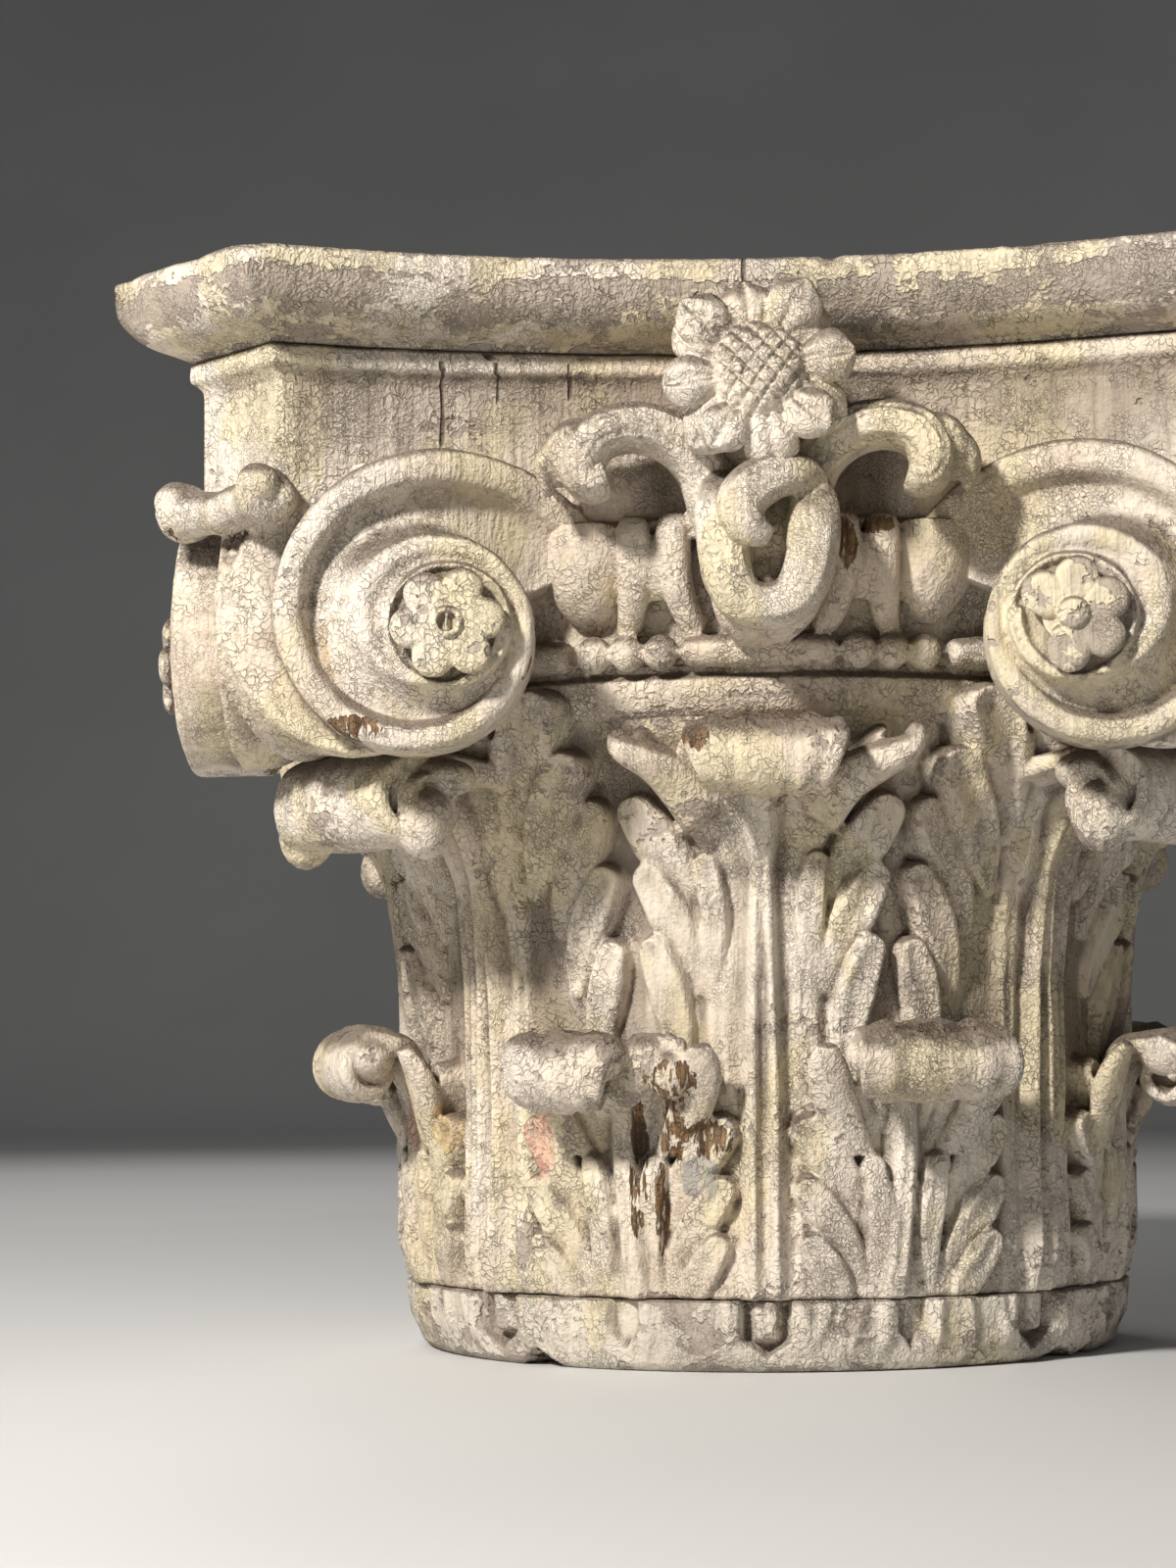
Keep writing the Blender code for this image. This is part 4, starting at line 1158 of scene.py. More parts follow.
    def build(self) -> None:
        """Make and dress the neck."""
        clay = Clay()
        self.body(clay)
        clay.four_sides(self.side)
        item = clay.to_object("carved_neck")
        one_skin(item, self.grain, self.most)
        weather(item, 0.00030, 0.00045, 9.0)
        stain(item, ((Stain.BARE, polar(9.8, 0.207, 0.335), (0.007, 0.02, 0.014), 0.60),
                     (Stain.BARE, polar(13.5, 0.207, 0.343), (0.010, 0.02, 0.006), 0.55)))
        finish(item, AGED_CREAM.material(), ("carved_block",))


# ---------------------------------------------------------------- flowers
@dataclass
class Sunflowers:
    """Round flower in the middle of each face."""

    centre: tuple[float, float, float] = (0.001, -0.2370, 0.3985)
    petals: int = 12
    radius: float = 0.0395
    boss: float = 0.0196
    grain: float = 0.0007
    most: int = 30000

    def petal(self, clay: Clay, angle: float, size: float, lean: float) -> None:
        """One cupped petal with a crease down its middle.

        Args:
            clay: takes the forms.
            angle: of the petal round the heart.
            size: scale of the petal.
            lean: how far its tip comes forward.
        """
        right = np.array((math.cos(angle), 0.0, math.sin(angle)))
        side = np.cross(FRONT, right)
        t = np.linspace(0.0, 1.0, 20)
        out = (0.014 + (self.radius * size - 0.014) * t)[:, None] * right
        bow = (0.003 + 0.0050 * np.sin(math.pi * t ** 0.9) + lean * t)[:, None] * FRONT
        wide = 0.0218 * size * np.clip(0.58 + 0.42 * smooth(0.0, 0.6, t), 0, 1)
        wide = wide * np.sqrt(np.clip(1 - smooth(0.62, 1.04, t) ** 1.6, 0.01, 1))
        turn = circle(28)
        rings = []
        for o, b, w in zip(out, bow, wide):
            ring = []
            for a in turn:
                x, y = math.cos(a), math.sin(a)
                crease = 0.0026 * math.exp(-(x / 0.20) ** 2) * (y > 0)
                cup = 0.0004 * x * x
                ring.append(np.array(self.centre) + o + b + side * (0.5 * w * x)
                            + FRONT * (0.0066 * y * math.sqrt(max(0.0, 1 - 0.45 * x * x)) + cup - crease))
            rings.append(ring)
        clay.loft(np.array(rings))

    def heart(self, clay: Clay) -> None:
        """Domed heart with a carved lattice.

        Args:
            clay: takes the forms.
        """
        rings = []
        turn = circle(96)
        centre = np.array(self.centre)
        for k in np.linspace(0, 1, 40):
            angle = k * math.pi * 0.5
            r, d = self.boss * math.cos(angle) ** 0.8, 0.0070 + 0.0126 * math.sin(angle)
            x, z = r * np.cos(turn), r * np.sin(turn)
            cut = np.maximum(np.exp(-(((0.72 * x + 0.70 * z) / 0.0058) % 1.0 - 0.5) ** 2 / 0.014),
                             np.exp(-(((0.80 * x - 0.60 * z) / 0.0058) % 1.0 - 0.5) ** 2 / 0.014))
            y = d - 0.0026 * cut * float(smooth(0.05, 0.25, k))
            rings.append(np.stack((x, -y, z), -1) + centre)
        base = np.stack((self.boss * np.cos(turn), np.full(96, 0.020), self.boss * np.sin(turn)), -1) + centre
        clay.loft(np.array([base] + rings))

    def build(self) -> None:
        """Make and dress the four flowers."""
        for side in range(4):
            clay = Clay()
            for i in range(self.petals):
                angle = 2 * math.pi * (i + 0.35 * math.sin(2.1 * i + side)) / self.petals + 0.16
                self.petal(clay, angle, 0.975 + 0.045 * math.sin(3.7 * i + side),
                           0.0045 * (-1) ** i + 0.0015 * math.sin(5.1 * i + 2 * side))
            turn = circle(40)
            plug = [np.stack((r * np.cos(turn), np.full(40, y), r * np.sin(turn)), -1) + np.array(self.centre)
                    for y, r in ((0.045, 0.024), (0.006, 0.025), (0.002, 0.020))]
            clay.loft(np.array(plug))
            self.heart(clay)
            item = clay.to_object(f"sunflower_{side + 1}")
            put_positions(item, spin(positions(item), 90.0 * side))
            one_skin(item, self.grain, self.most)
            weather(item, 0.00025, 0.00045, 12.0 + side)
            stain(item, ())
            finish(item, AGED_CREAM.material())


@dataclass
class Rosettes:
    """Pegged six-petal flowers in the volute eyes."""

    volutes: Volutes
    radius: float = 0.0218
    petals: int = 6
    grain: float = 0.00055
    most: int = 11000

    def build_one(self, number: int, side: int, sign: int) -> None:
        """One rosette, with the damage of the front ones.

        Args:
            number: of the rosette, 1 to 8.
            side: number of the face, 0 to 3.
            sign: -1 for the left volute, 1 for the right one.
        """
        centre, normal, inward = self.volutes.frame(sign)
        seat = centre + normal * (self.volutes.rise - 0.0015)
        clay = Clay()
        start = 0.2 + 0.9 * number
        for i in range(self.petals):
            if side == 0 and sign == 1 and i == 5:
                continue
            angle = start + 2 * math.pi * i / self.petals
            if side == 0:
                angle = 2 * math.pi * (i + (0.0 if sign == -1 else 0.5)) / self.petals + 0.12
            right = inward * math.cos(angle) + UP * math.sin(angle)
            across = np.cross(normal, right)
            middle = seat + right * (self.radius * 0.60) + normal * 0.0042
            turn = circle(30)
            rings = []
            for k in np.linspace(-1, 1, 15):
                ring = []
                size = math.sqrt(max(0.02, 1 - abs(k) ** 2.4))
                for a in turn:
                    x, y = math.cos(a) * size, math.sin(a) * size
                    u = x * 0.0086
                    v = k * 0.0098
                    cup = -0.0019 * math.exp(-((x / 0.5) ** 2 + (k / 0.62) ** 2)) if y > 0 else 0.0
                    ring.append(middle + across * u + right * v + normal * (y * 0.0040 + cup))
                rings.append(ring)
            clay.loft(np.array(rings))
        turn = circle(32)
        hollow = side == 0 and sign == -1
        ring_profile = ((-0.001, 0.012), (0.003, 0.012), (0.0036, 0.0064), (0.0078, 0.0062), (0.0088, 0.0052))
        ring_profile += ((0.0086, 0.0040), (0.0050, 0.0036)) if hollow else ((0.0094, 0.0030),)
        clay.loft(np.array([[seat + normal * d + inward * (r * math.cos(a)) + UP * (r * math.sin(a)) for a in turn]
                            for d, r in ring_profile]))
        if hollow:
            slot_path = np.array([seat + normal * 0.0062 + UP * (0.004 * k) for k in (-1, 0, 1)])
            clay.sweep(slot_path, inward, np.full(3, 0.0018), np.full(3, 0.003), 12)
        item = clay.to_object(f"rosette_face_{number}")
        put_positions(item, spin(positions(item), 90.0 * side))
        one_skin(item, self.grain, self.most)
        weather(item, 0.0002, 0.0004, 20.0 + number)
        stain(item, ())
        finish(item, RUBBED_CREAM.material(), (f"rosette_{number}",))

    def build(self) -> None:
        """Make and dress all eight."""
        number = 0
        for side in range(4):
            for sign in (-1, 1):
                number += 1
                self.build_one(number, side, sign)


# ---------------------------------------------------------------- slab and foot
@dataclass
class Slab:
    """Top board with its rounded, chipped edge."""

    undercut: float = 0.026
    steps: int = 190

    def build(self) -> None:
        """Make and dress the slab."""
        levels = [(JOINT_HIGH + 0.0002, self.undercut + 0.003), (JOINT_HIGH + 0.0004, self.undercut + 0.0008),
                  (JOINT_HIGH + 0.0016, self.undercut)]
        for turn in np.linspace(-88, 0, 26):
            a = math.radians(turn)
            levels.append((0.4440 + 0.0250 * math.sin(a), self.undercut * (1 - math.cos(a))))
        levels += [(0.4455, 0.0), (0.4470, 0.0), (0.4485, 0.0003), (0.4496, 0.0010), (HEIGHT, 0.0024),
                   (HEIGHT, 0.010), (HEIGHT, 0.05)]
        rings = np.array([slab_outline(inset, height, self.steps) for height, inset in levels])
        clay = Clay()
        clay.loft(rings)
        item = clay.to_object("abacus_board")
        co = positions(item)
        chip = np.clip(speckle(co, 60.0) - 0.12, 0, 1)
        fine = speckle(co, 260.0)
        edge = smooth(0.441, 0.447, co[:, 2]) * (1 - smooth(0.0, 0.02, abs(co[:, 2] - 0.4475)) * 0.3)
        spots = ((-0.136, -0.232, 0.449, 0.007, 0.0035), (-0.262, -0.205, 0.444, 0.012, 0.002),
                 (0.03, -0.2215, 0.449, 0.006, 0.0020), (0.262, 0.190, 0.447, 0.014, 0.005),
                 (-0.150, 0.236, 0.448, 0.012, 0.004), (-0.199, -0.265, 0.450, 0.010, 0.002))
        depth = 0.0022 * chip * edge + 0.0003 * (1 + fine)
        for x, y, z, size, deep in spots:
            far = np.sqrt(((co - np.array((x, y, z))) ** 2).sum(1))
            depth += deep * (1 - smooth(0.2 * size, size, far))
        top = (co[:, 2] > HEIGHT - 0.0001) & (np.hypot(co[:, 0], co[:, 1]) < 0.2)
        depth[top] = 0
        co -= from_axis(co) * depth[:, None]
        co[:, 2] -= np.where(co[:, 2] > 0.447, 0.5 * depth + 0.0002 * (1 + fine), 0.0) * ~top
        put_positions(item, co)
        stain(item, ((Stain.BARE, (-0.25, -0.235, 0.43), (0.01, 0.01, 0.006), 0.6),))
        finish(item, SLAB_PAINT.material(), ("abacus_slab",))


@dataclass
class Foot:
    """Lower board with the ends of the leaf stems, pockets and broken notches."""

    columns: int = 1000
    rows: int = 34
    pockets: tuple[tuple[float, float, float, float], ...] = (
        (0.0, 3.9, 0.0095, 0.0085), (-21.5, 2.4, 0.0125, 0.0055), (22.0, 2.4, 0.0125, 0.0050),
        (45.0, 4.2, 0.0100, 0.0090))
    stems: tuple[tuple[float, float], ...] = ((9.5, 22.0), (14.5, 16.0), (31.0, -10.0), (36.5, -16.0))
    notches: tuple[tuple[float, float, float], ...] = (
        (-37.6, 4.2, 0.0078), (52.0, 5.0, 0.0055), (61.0, 3.0, 0.004), (146.0, 4.0, 0.006))

    def radius(self, azimuth: Array, z: Array) -> Array:
        """Radius of the foot with its carving.

        Args:
            azimuth: in degrees from the front face.
            z: heights.

        Returns:
            Radii in metres.
        """
        base = np.interp(z, (0.0, 0.0012, 0.0035, 0.0080, 0.0140, 0.0220, 0.0298),
                         (0.1532, 0.1558, 0.1578, 0.1596, 0.1612, 0.1622, 0.1630))
        flute, pit = np.zeros_like(z), np.zeros_like(z)
        for quarter in range(4):
            for place, half, low, deep in self.pockets:
                u = off(azimuth - 90.0 * quarter, place)
                arch = low + 0.0045 * (u / half) ** 2 - 0.003 * np.exp(-(u / (0.3 * half)) ** 2)
                inside = (1 - smooth(half * 0.80, half * 1.08, abs(u))) * smooth(arch - 0.001, arch + 0.0022, z)
                pit = np.maximum(pit, deep * inside)
                block = np.exp(-(u / (0.52 * half)) ** 6) * smooth(low + 0.002, low + 0.005, z)
                pit = pit - np.minimum(pit, 0.80 * deep * block) * (half > 3.0)
                flute += 0.0020 * np.exp(-((abs(u) - half - 1.6) / 1.1) ** 2) * smooth(0.005, 0.016, z)
            for place, tilt in self.stems:
                for s in (1, -1):
                    u = off(azimuth - 90.0 * quarter, s * place) + s * tilt * (0.03 - z) * 6.0
                    flute += 0.0018 * np.exp(-(u / 0.95) ** 2) * smooth(0.004, 0.018, z)
        return base + flute - pit

    def build(self) -> None:
        """Make and dress the foot."""
        az = np.linspace(-180, 180, self.columns, endpoint=False)
        z = np.concatenate((np.linspace(0.0, 0.029, self.rows), (0.0293, 0.0298)))
        azimuth, height = np.meshgrid(az, z)
        radius = self.radius(azimuth, height)
        wobble = np.sin(azimuth * 0.9) * np.sin(azimuth * 2.3)
        radius[-1] -= 0.0016 + 0.0006 * wobble[-1]
        radius[-2] -= 0.0007
        for centre, half, tall in self.notches:
            u = abs(azimuth - centre) / half
            cut = smooth(0.0006, -0.0006, height - tall * (1 - u)) * (u < 1)
            radius -= 0.018 * cut
        turn = np.radians(azimuth)
        clay = Clay()
        clay.loft(np.stack((radius * np.sin(turn), -radius * np.cos(turn), height), -1))
        item = clay.to_object("foot_board")
        co = positions(item)
        fine = speckle(co, 150.0)
        low = co[:, 2] > 0.0004
        co += from_axis(co) * (0.0005 * fine * low)[:, None]
        put_positions(item, co)
        stain(item, ((Stain.BARE, polar(-37.6, 0.150, 0.004), (0.012, 0.012, 0.008), 0.7),))
        finish(item, FOOT_PAINT.material(), ("base_ring",))


# ---------------------------------------------------------------- paint
class Graph:
    """Small writer of shader nodes."""

    def __init__(self, material: bpy.types.Material) -> None:
        """Start on a material's empty tree.

        Args:
            material: an empty material.
        """
        material.use_nodes = True
        self.tree = material.node_tree
        self.tree.nodes.clear()

    def node(self, kind: str, inputs: dict[str | int, object] | None = None, **settings: object) -> bpy.types.Node:
        """Add a node.

        Args:
            kind: its type without the ShaderNode prefix.
            inputs: values or sockets by input name or number.
            settings: properties of the node.

        Returns:
            The node.
        """
        made = self.tree.nodes.new("ShaderNode" + kind)
        for key, value in settings.items():
            setattr(made, key, value)
        for key, value in (inputs or {}).items():
            socket = made.inputs[key]
            if isinstance(value, Socket):
                self.tree.links.new(value, socket)
            elif isinstance(value, tuple) and len(value) == 3 and socket.type == "RGBA":
                socket.default_value = (*value, 1.0)
            else:
                socket.default_value = value
        return made

    def math(self, operation: str, a: object, b: object = 0.0) -> Socket:
        """Result of a Math node."""
        return self.node("Math", {0: a, 1: b}, operation=operation).outputs[0]

    def times(self, a: object, b: object) -> Socket:
        """Product."""
        return self.math("MULTIPLY", a, b)

    def plus(self, a: object, b: object) -> Socket:
        """Sum."""
        return self.math("ADD", a, b)

    def minus(self, a: object, b: object) -> Socket:
        """Difference."""
        return self.math("SUBTRACT", a, b)

    def larger(self, a: object, b: object) -> Socket:
        """Larger of two values."""
        return self.math("MAXIMUM", a, b)

    def ramp(self, value: object, low: float, high: float, out_low: float = 0.0,
             out_high: float = 1.0) -> Socket:
        """Smooth step of a socket."""
        return self.node("MapRange", {"Value": value, "From Min": low, "From Max": high, "To Min": out_low,
                                      "To Max": out_high}, interpolation_type="SMOOTHSTEP").outputs["Result"]

    def mix(self, factor: object, a: object, b: object) -> Socket:
        """Mixed colour."""
        return self.node("Mix", {0: factor, 6: a, 7: b}, data_type="RGBA").outputs[2]

    def noise(self, where: Socket, scale: float, detail: float = 3.0, rough: float = 0.55,
              output: str = "Fac") -> Socket:
        """Noise value or colour."""
        return self.node("TexNoise", {"Vector": where, "Scale": scale, "Detail": detail,
                                      "Roughness": rough}).outputs[output]

    def cells(self, where: Socket, scale: float, feature: str) -> bpy.types.Node:
        """Voronoi node."""
        return self.node("TexVoronoi", {"Vector": where, "Scale": scale}, feature=feature)

    def shifted(self, where: Socket, scale: Sequence[float],
                location: Sequence[float] = (0, 0, 0)) -> Socket:
        """Stretched coordinates."""
        return self.node("Mapping", {"Vector": where, "Scale": tuple(scale), "Location": tuple(location)}).outputs[0]


@dataclass(frozen=True)
class AgedPaint:
    """Old cracked cream paint over carved wood."""

    name: str
    cream: Colour = (0.670, 0.562, 0.440)
    pale: Colour = (0.770, 0.690, 0.590)
    yellow: Colour = (0.680, 0.585, 0.385)
    worn: Colour = (0.345, 0.285, 0.240)
    dirt: Colour = (0.085, 0.062, 0.045)
    soil: Colour = (0.430, 0.335, 0.255)
    wood: Colour = (0.085, 0.046, 0.024)
    yellow_share: float = 0.50
    worn_share: float = 0.24
    soiled: float = 0.35
    flakes: float = 290.0
    band: bool = False
    dust: float = 0.85
    splits: tuple[tuple[float, float, float], ...] = ()
    red: Colour = (0.55, 0.215, 0.165)
    blue: Colour = (0.140, 0.165, 0.190)
    ochre: Colour = (0.480, 0.300, 0.090)
    timber: Colour = (0.250, 0.150, 0.075)
    # dark brown laid into hollows: dirt together with painted shade where recesses would be in shadow
    grime_and_painted_shade: Colour = (0.150, 0.108, 0.078)
    dust_tone: Colour = (0.135, 0.100, 0.075)
    gloss: float = 0.28

    def split_lines(self, g: Graph, xyz: bpy.types.Node, wobble: object) -> object:
        """Upright splits in the wood of the front face.

        Args:
            g: writes the nodes.
            xyz: separated position.
            wobble: noise that bends the lines.

        Returns:
            1 in a split, 0 elsewhere.
        """
        x = g.plus(xyz.outputs[0], g.times(g.minus(wobble, 0.5), 0.006))
        lines: object = 0.0
        for place, low, high in self.splits:
            line = g.ramp(g.math("ABSOLUTE", g.minus(x, place)), 0.0003, 0.0011, 1.0, 0.0)
            line = g.times(line, g.ramp(xyz.outputs[2], low, low + 0.003))
            line = g.times(line, g.ramp(xyz.outputs[2], high - 0.001, high, 1.0, 0.0))
            line = g.times(line, g.ramp(xyz.outputs[1], -0.15, -0.10, 1.0, 0.0))
            lines = g.larger(lines, line)
        return lines

    def material(self) -> bpy.types.Material:
        """The material, made once."""
        found = bpy.data.materials.get(self.name)
        return found or self.write(bpy.data.materials.new(self.name))

    def write(self, material: bpy.types.Material) -> bpy.types.Material:
        """Write the nodes.

        Args:
            material: an empty material.

        Returns:
            The same material.
        """
        g = Graph(material)
        where = g.node("TexCoord").outputs["Object"]
        normal = g.node("NewGeometry").outputs["Normal"]
        up = g.node("SeparateXYZ", {0: normal}).outputs[2]
        xyz = g.node("SeparateXYZ", {0: where})
        jitter = g.noise(where, 75.0, 3.0, 0.70, "Color")
        jitter = g.node("VectorMath", {0: jitter, 1: (0.013, 0.013, 0.013)}, operation="MULTIPLY").outputs[0]
        warped = g.node("VectorMath", {0: where, 1: jitter}, operation="ADD").outputs[0]
        # flakes of about 6 mm and fine cracks of about 3 mm, broken off in places
        flake = g.cells(warped, self.flakes, "DISTANCE_TO_EDGE").outputs["Distance"]
        tone = g.node("SeparateColor", {0: g.cells(warped, self.flakes, "F1").outputs["Color"]}).outputs[0]
        small = g.cells(warped, 2.1 * self.flakes, "DISTANCE_TO_EDGE").outputs["Distance"]
        cover = g.ramp(g.noise(where, 14.0, 3.0, 0.6), 0.34, 0.56)
        gaps = g.ramp(g.noise(where, 135.0, 2.0, 0.65), 0.46, 0.60)
        crack = g.times(g.times(g.ramp(flake, 0.0, 0.050, 1.0, 0.0), cover), gaps)
        hair = g.times(g.ramp(small, 0.0, 0.07, 1.0, 0.0), g.ramp(g.noise(where, 33.0, 3.0, 0.6), 0.46, 0.62))
        streak = g.noise(g.shifted(where, (1.0, 1.0, 0.055)), 260.0, 2.0, 0.65)
        lie = g.node("SeparateColor", {0: g.node("Attribute", attribute_name="lie").outputs["Color"]})
        # paint colours
        big = g.noise(where, 9.0, 5.0, 0.6)
        colour = g.mix(g.ramp(big, 0.36, 0.62), self.cream, self.pale)
        yellow = g.noise(g.shifted(where, (1.0, 1.0, 0.5), (3.1, 0.4, 1.2)), 17.0, 5.0, 0.62)
        colour = g.mix(g.ramp(yellow, self.yellow_share, self.yellow_share + 0.07, 0.0, 0.75), colour, self.yellow)
        soot = g.noise(g.shifted(where, (1.0, 1.0, 0.6), (7.3, 1.4, 0.2)), 12.0, 5.0, 0.66)
        colour = g.mix(g.ramp(soot, 0.48, 0.76, 0.0, self.soiled), colour, self.soil)
        colour = g.mix(g.ramp(tone, 0.0, 1.0, 0.0, 0.16), colour, self.worn)
        colour = g.mix(g.times(g.ramp(streak, 0.50, 0.72), 0.34), colour, self.worn)
        # rubbed areas where the grey ground shows between flakes
        rub = g.noise(g.shifted(where, (1.0, 1.0, 1.4), (0.7, 2.2, 5.1)), 26.0, 4.0, 0.68)
        if self.band:
            height = xyz.outputs[2]
            belt = g.times(g.ramp(height, 0.4220, 0.4290), g.ramp(height, 0.4385, 0.4435, 1.0, 0.0))
            rub = g.plus(rub, g.times(belt, 0.150))
        rub = g.plus(rub, g.times(lie.outputs[2], 0.10))
        share = 1.0 - self.worn_share
        rubbed = g.ramp(g.plus(rub, g.times(g.minus(tone, 0.5), 0.10)), share - 0.10, share - 0.065)
        colour = g.mix(g.times(rubbed, 0.80), colour, self.worn)
        # stains stored on the skin
        mask = g.node("SeparateColor", {0: g.node("Attribute", attribute_name="stain").outputs["Color"]})
        alpha = g.node("Attribute", attribute_name="stain").outputs["Alpha"]
        ragged = g.noise(g.shifted(where, (1.0, 1.0, 0.24)), 170.0, 3.0, 0.72)
        for channel, tint in ((mask.outputs[1], self.red), (mask.outputs[2], self.blue), (alpha, self.ochre)):
            shown = g.ramp(g.minus(channel, ragged), -0.06, 0.16, 0.0, 0.55)
            shown = g.times(shown, g.ramp(channel, 0.0, 0.2))
            colour = g.mix(shown, colour, tint)
        bare = g.times(g.ramp(g.minus(mask.outputs[0], ragged), -0.04, 0.02), g.ramp(mask.outputs[0], 0.0, 0.15))
        grain = g.noise(g.shifted(where, (1.0, 1.0, 0.04)), 420.0, 2.0, 0.7)
        timber = g.mix(g.ramp(grain, 0.35, 0.65), self.wood, self.timber)
        colour = g.mix(bare, colour, timber)
        # dirt in cracks, dirt and painted shade in recesses and creases, dust on what faces up
        patchy = g.ramp(g.noise(where, 45.0, 3.0, 0.65), 0.25, 0.72, 0.45, 1.0)
        # painted shade: recesses and creases measured on the skin are darkened as if shaded, mixed with real dirt
        grime_and_painted_shade = g.times(g.ramp(lie.outputs[0], 0.16, 0.95), patchy)
        grime_and_painted_shade = g.larger(grime_and_painted_shade, g.times(g.ramp(lie.outputs[1], 0.18, 0.85), 0.9))
        colour = g.mix(g.times(grime_and_painted_shade, 0.78), colour, self.grime_and_painted_shade)
        tops = g.times(g.ramp(g.plus(up, g.times(g.noise(where, 80.0, 3.0), 0.6)), 0.50, 1.00), self.dust)
        colour = g.mix(tops, colour, self.dust_tone)
        lines = g.larger(g.times(crack, 0.40), g.times(hair, 0.24))
        splits = self.split_lines(g, xyz, streak)
        colour = g.mix(g.larger(lines, g.times(splits, 0.9)), colour, self.dirt)
        # relief of the paint
        curl = g.times(g.ramp(flake, 0.04, 0.20, 1.0, 0.0), cover)
        plate = g.minus(g.times(curl, 0.30), g.times(crack, 1.0))
        plate = g.plus(plate, g.times(tone, g.times(cover, 0.25)))
        plate = g.minus(plate, g.times(hair, 0.55))
        plate = g.minus(plate, g.times(rubbed, 0.9))
        plate = g.minus(plate, g.times(bare, 1.2))
        plate = g.plus(plate, g.times(streak, 1.3))
        plate = g.plus(plate, g.times(g.noise(where, 520.0, 1.0, 0.7), 0.55))
        plate = g.minus(plate, g.times(splits, 2.5))
        bump = g.node("Bump", {"Height": plate, "Strength": 0.95, "Distance": 0.0010})
        shader = g.node("BsdfPrincipled", {"Base Color": colour, "Normal": bump.outputs[0],
                                           "Roughness": g.ramp(g.noise(where, 60.0), 0.3, 0.7, 0.62, 0.86)})
        shader.inputs["Specular IOR Level"].default_value = self.gloss
        out = g.node("OutputMaterial", {"Surface": shader.outputs[0]})
        out.is_active_output = True
        return material


AGED_CREAM = AgedPaint("aged_cream", splits=((-0.1275, 0.376, 0.412), (-0.105, 0.395, 0.412), (-0.076, 0.397, 0.412)))
SLAB_PAINT = AgedPaint("aged_cream_slab", yellow_share=0.44, worn_share=0.34, band=True, dust=0.5,
                       splits=((-0.004, 0.434, 0.452),))
FOOT_PAINT = AgedPaint("aged_cream_foot", cream=(0.61, 0.55, 0.46), worn_share=0.34, dust=0.6)
RUBBED_CREAM = AgedPaint("rubbed_cream", cream=(0.63, 0.55, 0.41), yellow_share=0.44, worn_share=0.40)


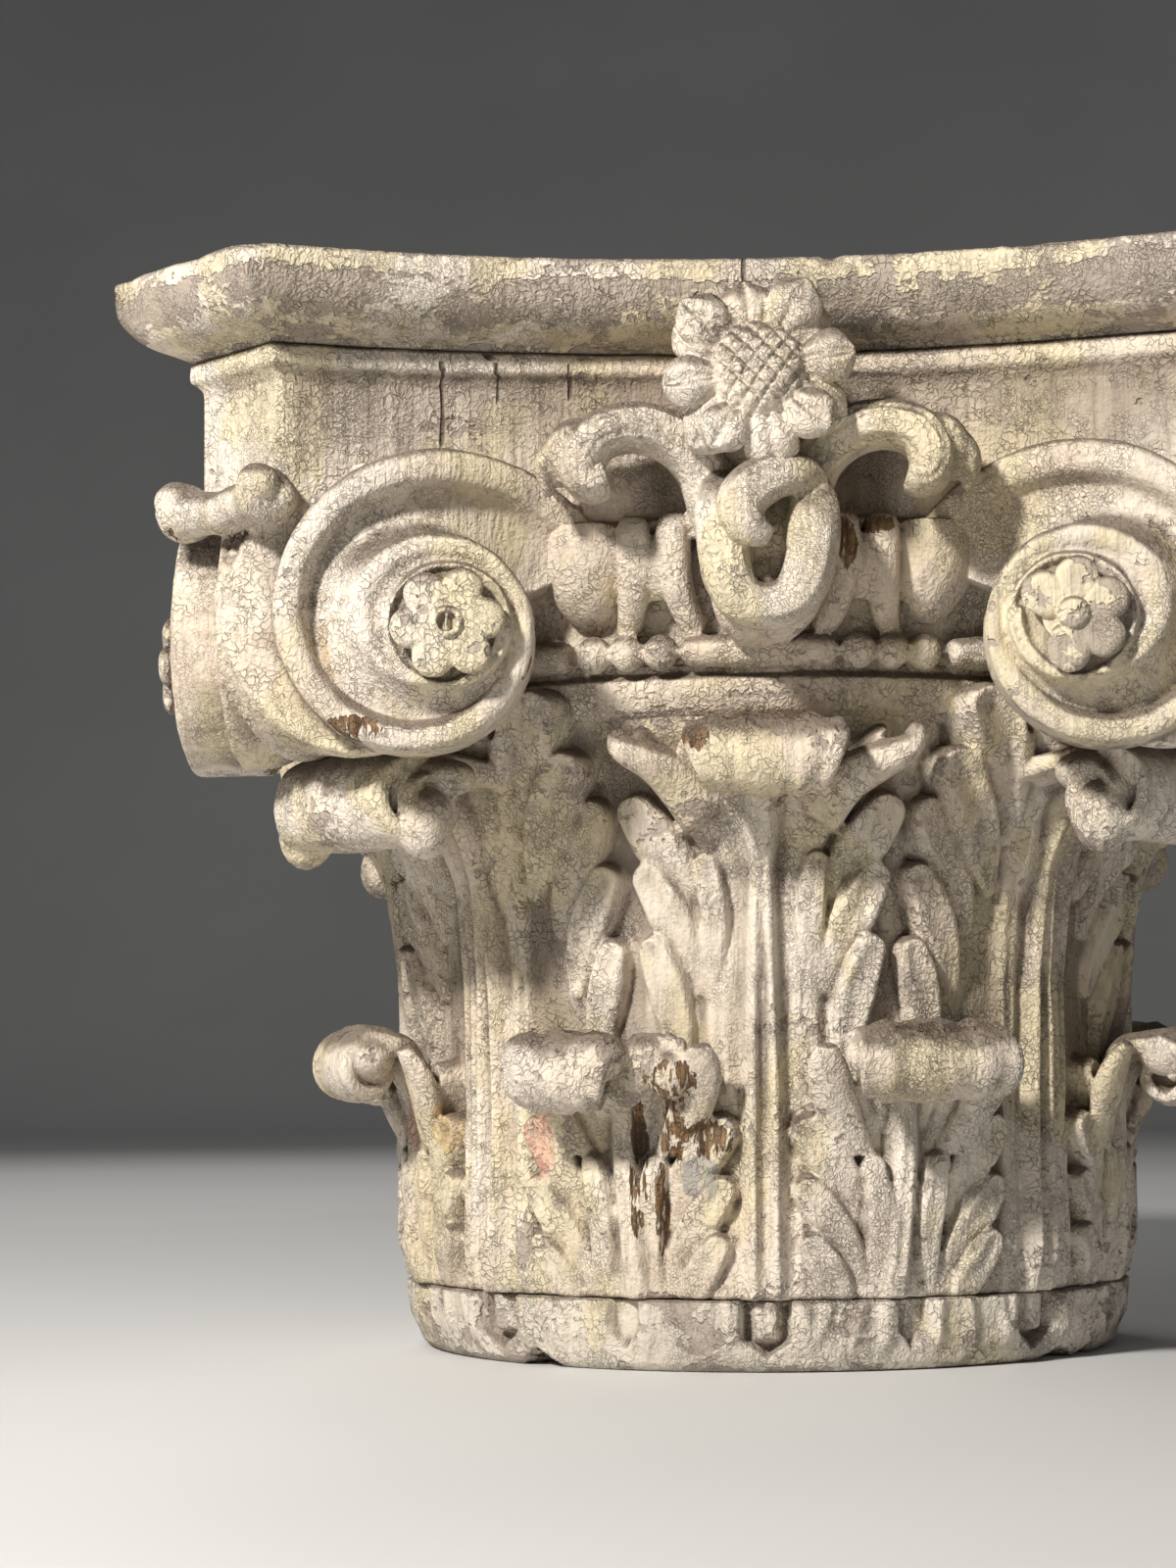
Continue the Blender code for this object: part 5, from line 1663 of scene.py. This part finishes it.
# ---------------------------------------------------------------- studio
@dataclass
class Studio:
    """Pale floor, soft light and the camera of the photograph."""

    eye: tuple[float, float, float] = (0.0, -1.4751, 0.13185)
    yaw: float = -0.0545
    pitch: float = 0.0842
    roll: float = -0.007
    lens: float = 3238 * 36 / 1600

    def camera(self) -> None:
        """Camera at the photograph's place."""
        data = bpy.data.cameras.new("camera")
        data.sensor_fit, data.sensor_height, data.sensor_width, data.lens = "VERTICAL", 36.0, 27.0, self.lens
        data.clip_start, data.clip_end = 0.05, 60.0
        item = bpy.data.objects.new("camera", data)
        bpy.context.scene.collection.objects.link(item)
        forward = Vector((math.sin(self.yaw) * math.cos(self.pitch), math.cos(self.yaw) * math.cos(self.pitch),
                          math.sin(self.pitch)))
        right = Vector((math.cos(self.yaw), -math.sin(self.yaw), 0))
        up = right.cross(forward)
        side = right * math.cos(self.roll) + up * math.sin(self.roll)
        top = -right * math.sin(self.roll) + up * math.cos(self.roll)
        pose = Matrix((side, top, -forward)).transposed().to_4x4()
        pose.translation = Vector(self.eye)
        item.matrix_world = pose
        bpy.context.scene.camera = item

    @staticmethod
    def lamp(name: str, place: Sequence[float], target: Sequence[float], size: float, power: float,
             colour: Colour) -> None:
        """One soft square lamp.

        Args:
            name: of the lamp.
            place: where it hangs.
            target: what it points at.
            size: its side.
            power: in watts.
            colour: of its light.
        """
        data = bpy.data.lights.new(name, "AREA")
        data.size, data.energy, data.color = size, power, colour
        item = bpy.data.objects.new(name, data)
        bpy.context.scene.collection.objects.link(item)
        item.location = place
        item.rotation_euler = (Vector(target) - Vector(place)).to_track_quat("-Z", "Y").to_euler()

    def build(self) -> None:
        """Set up floor, light and camera."""
        bpy.ops.object.select_all(action="DESELECT")
        bpy.ops.mesh.primitive_grid_add(x_subdivisions=4, y_subdivisions=60, size=16.0, location=(0, 2.0, 0))
        floor = bpy.context.object
        floor.name = "studio_floor"
        co = positions(floor)
        far = np.clip(co[:, 1] - 2.0, 0, None)
        co[:, 2] = 0.28 * far ** 2
        put_positions(floor, co)
        floor.data.polygons.foreach_set("use_smooth", np.ones(len(floor.data.polygons), bool))
        material = bpy.data.materials.new("pale_floor")
        g = Graph(material)
        where = g.node("TexCoord").outputs["Object"]
        tone = g.mix(g.ramp(g.noise(where, 1.5, 2.0), 0.3, 0.7), (0.60, 0.60, 0.60), (0.64, 0.64, 0.64))
        shader = g.node("BsdfPrincipled", {"Base Color": tone})
        shader.inputs["Roughness"].default_value = 0.6
        g.node("OutputMaterial", {"Surface": shader.outputs[0]})
        floor.data.materials.append(material)
        self.lamp("key", (-1.12, -1.78, 1.50), (0.0, -0.1, 0.24), 0.24, 84.0, (1.0, 0.970, 0.915))
        self.lamp("fill", (1.8, -1.9, 0.9), (0.0, 0.0, 0.2), 1.6, 1.5, (0.95, 0.97, 1.0))
        self.lamp("back", (-0.8, 2.0, 1.6), (0.0, 0.1, 0.3), 1.2, 14.0, (1.0, 0.98, 0.95))
        world = bpy.data.worlds.new("studio")
        world.use_nodes = True
        world.node_tree.nodes["Background"].inputs[0].default_value = (0.86, 0.88, 0.92, 1.0)
        world.node_tree.nodes["Background"].inputs[1].default_value = 0.065
        bpy.context.scene.world = world
        bpy.context.scene.view_settings.view_transform = "Standard"
        self.camera()


def main() -> None:
    """Build the capital piece by piece."""
    logging.basicConfig(level=logging.INFO, format="%(name)s %(message)s")
    Studio().build()
    volutes = Volutes()
    for builder in (Bell(), volutes, Neck(), Sunflowers(), Rosettes(volutes), Slab(), Foot()):
        began = time.time()
        builder.build()
        LOG.info("%s took %.1f s", type(builder).__name__, time.time() - began)


if __name__ == "__main__":
    main()
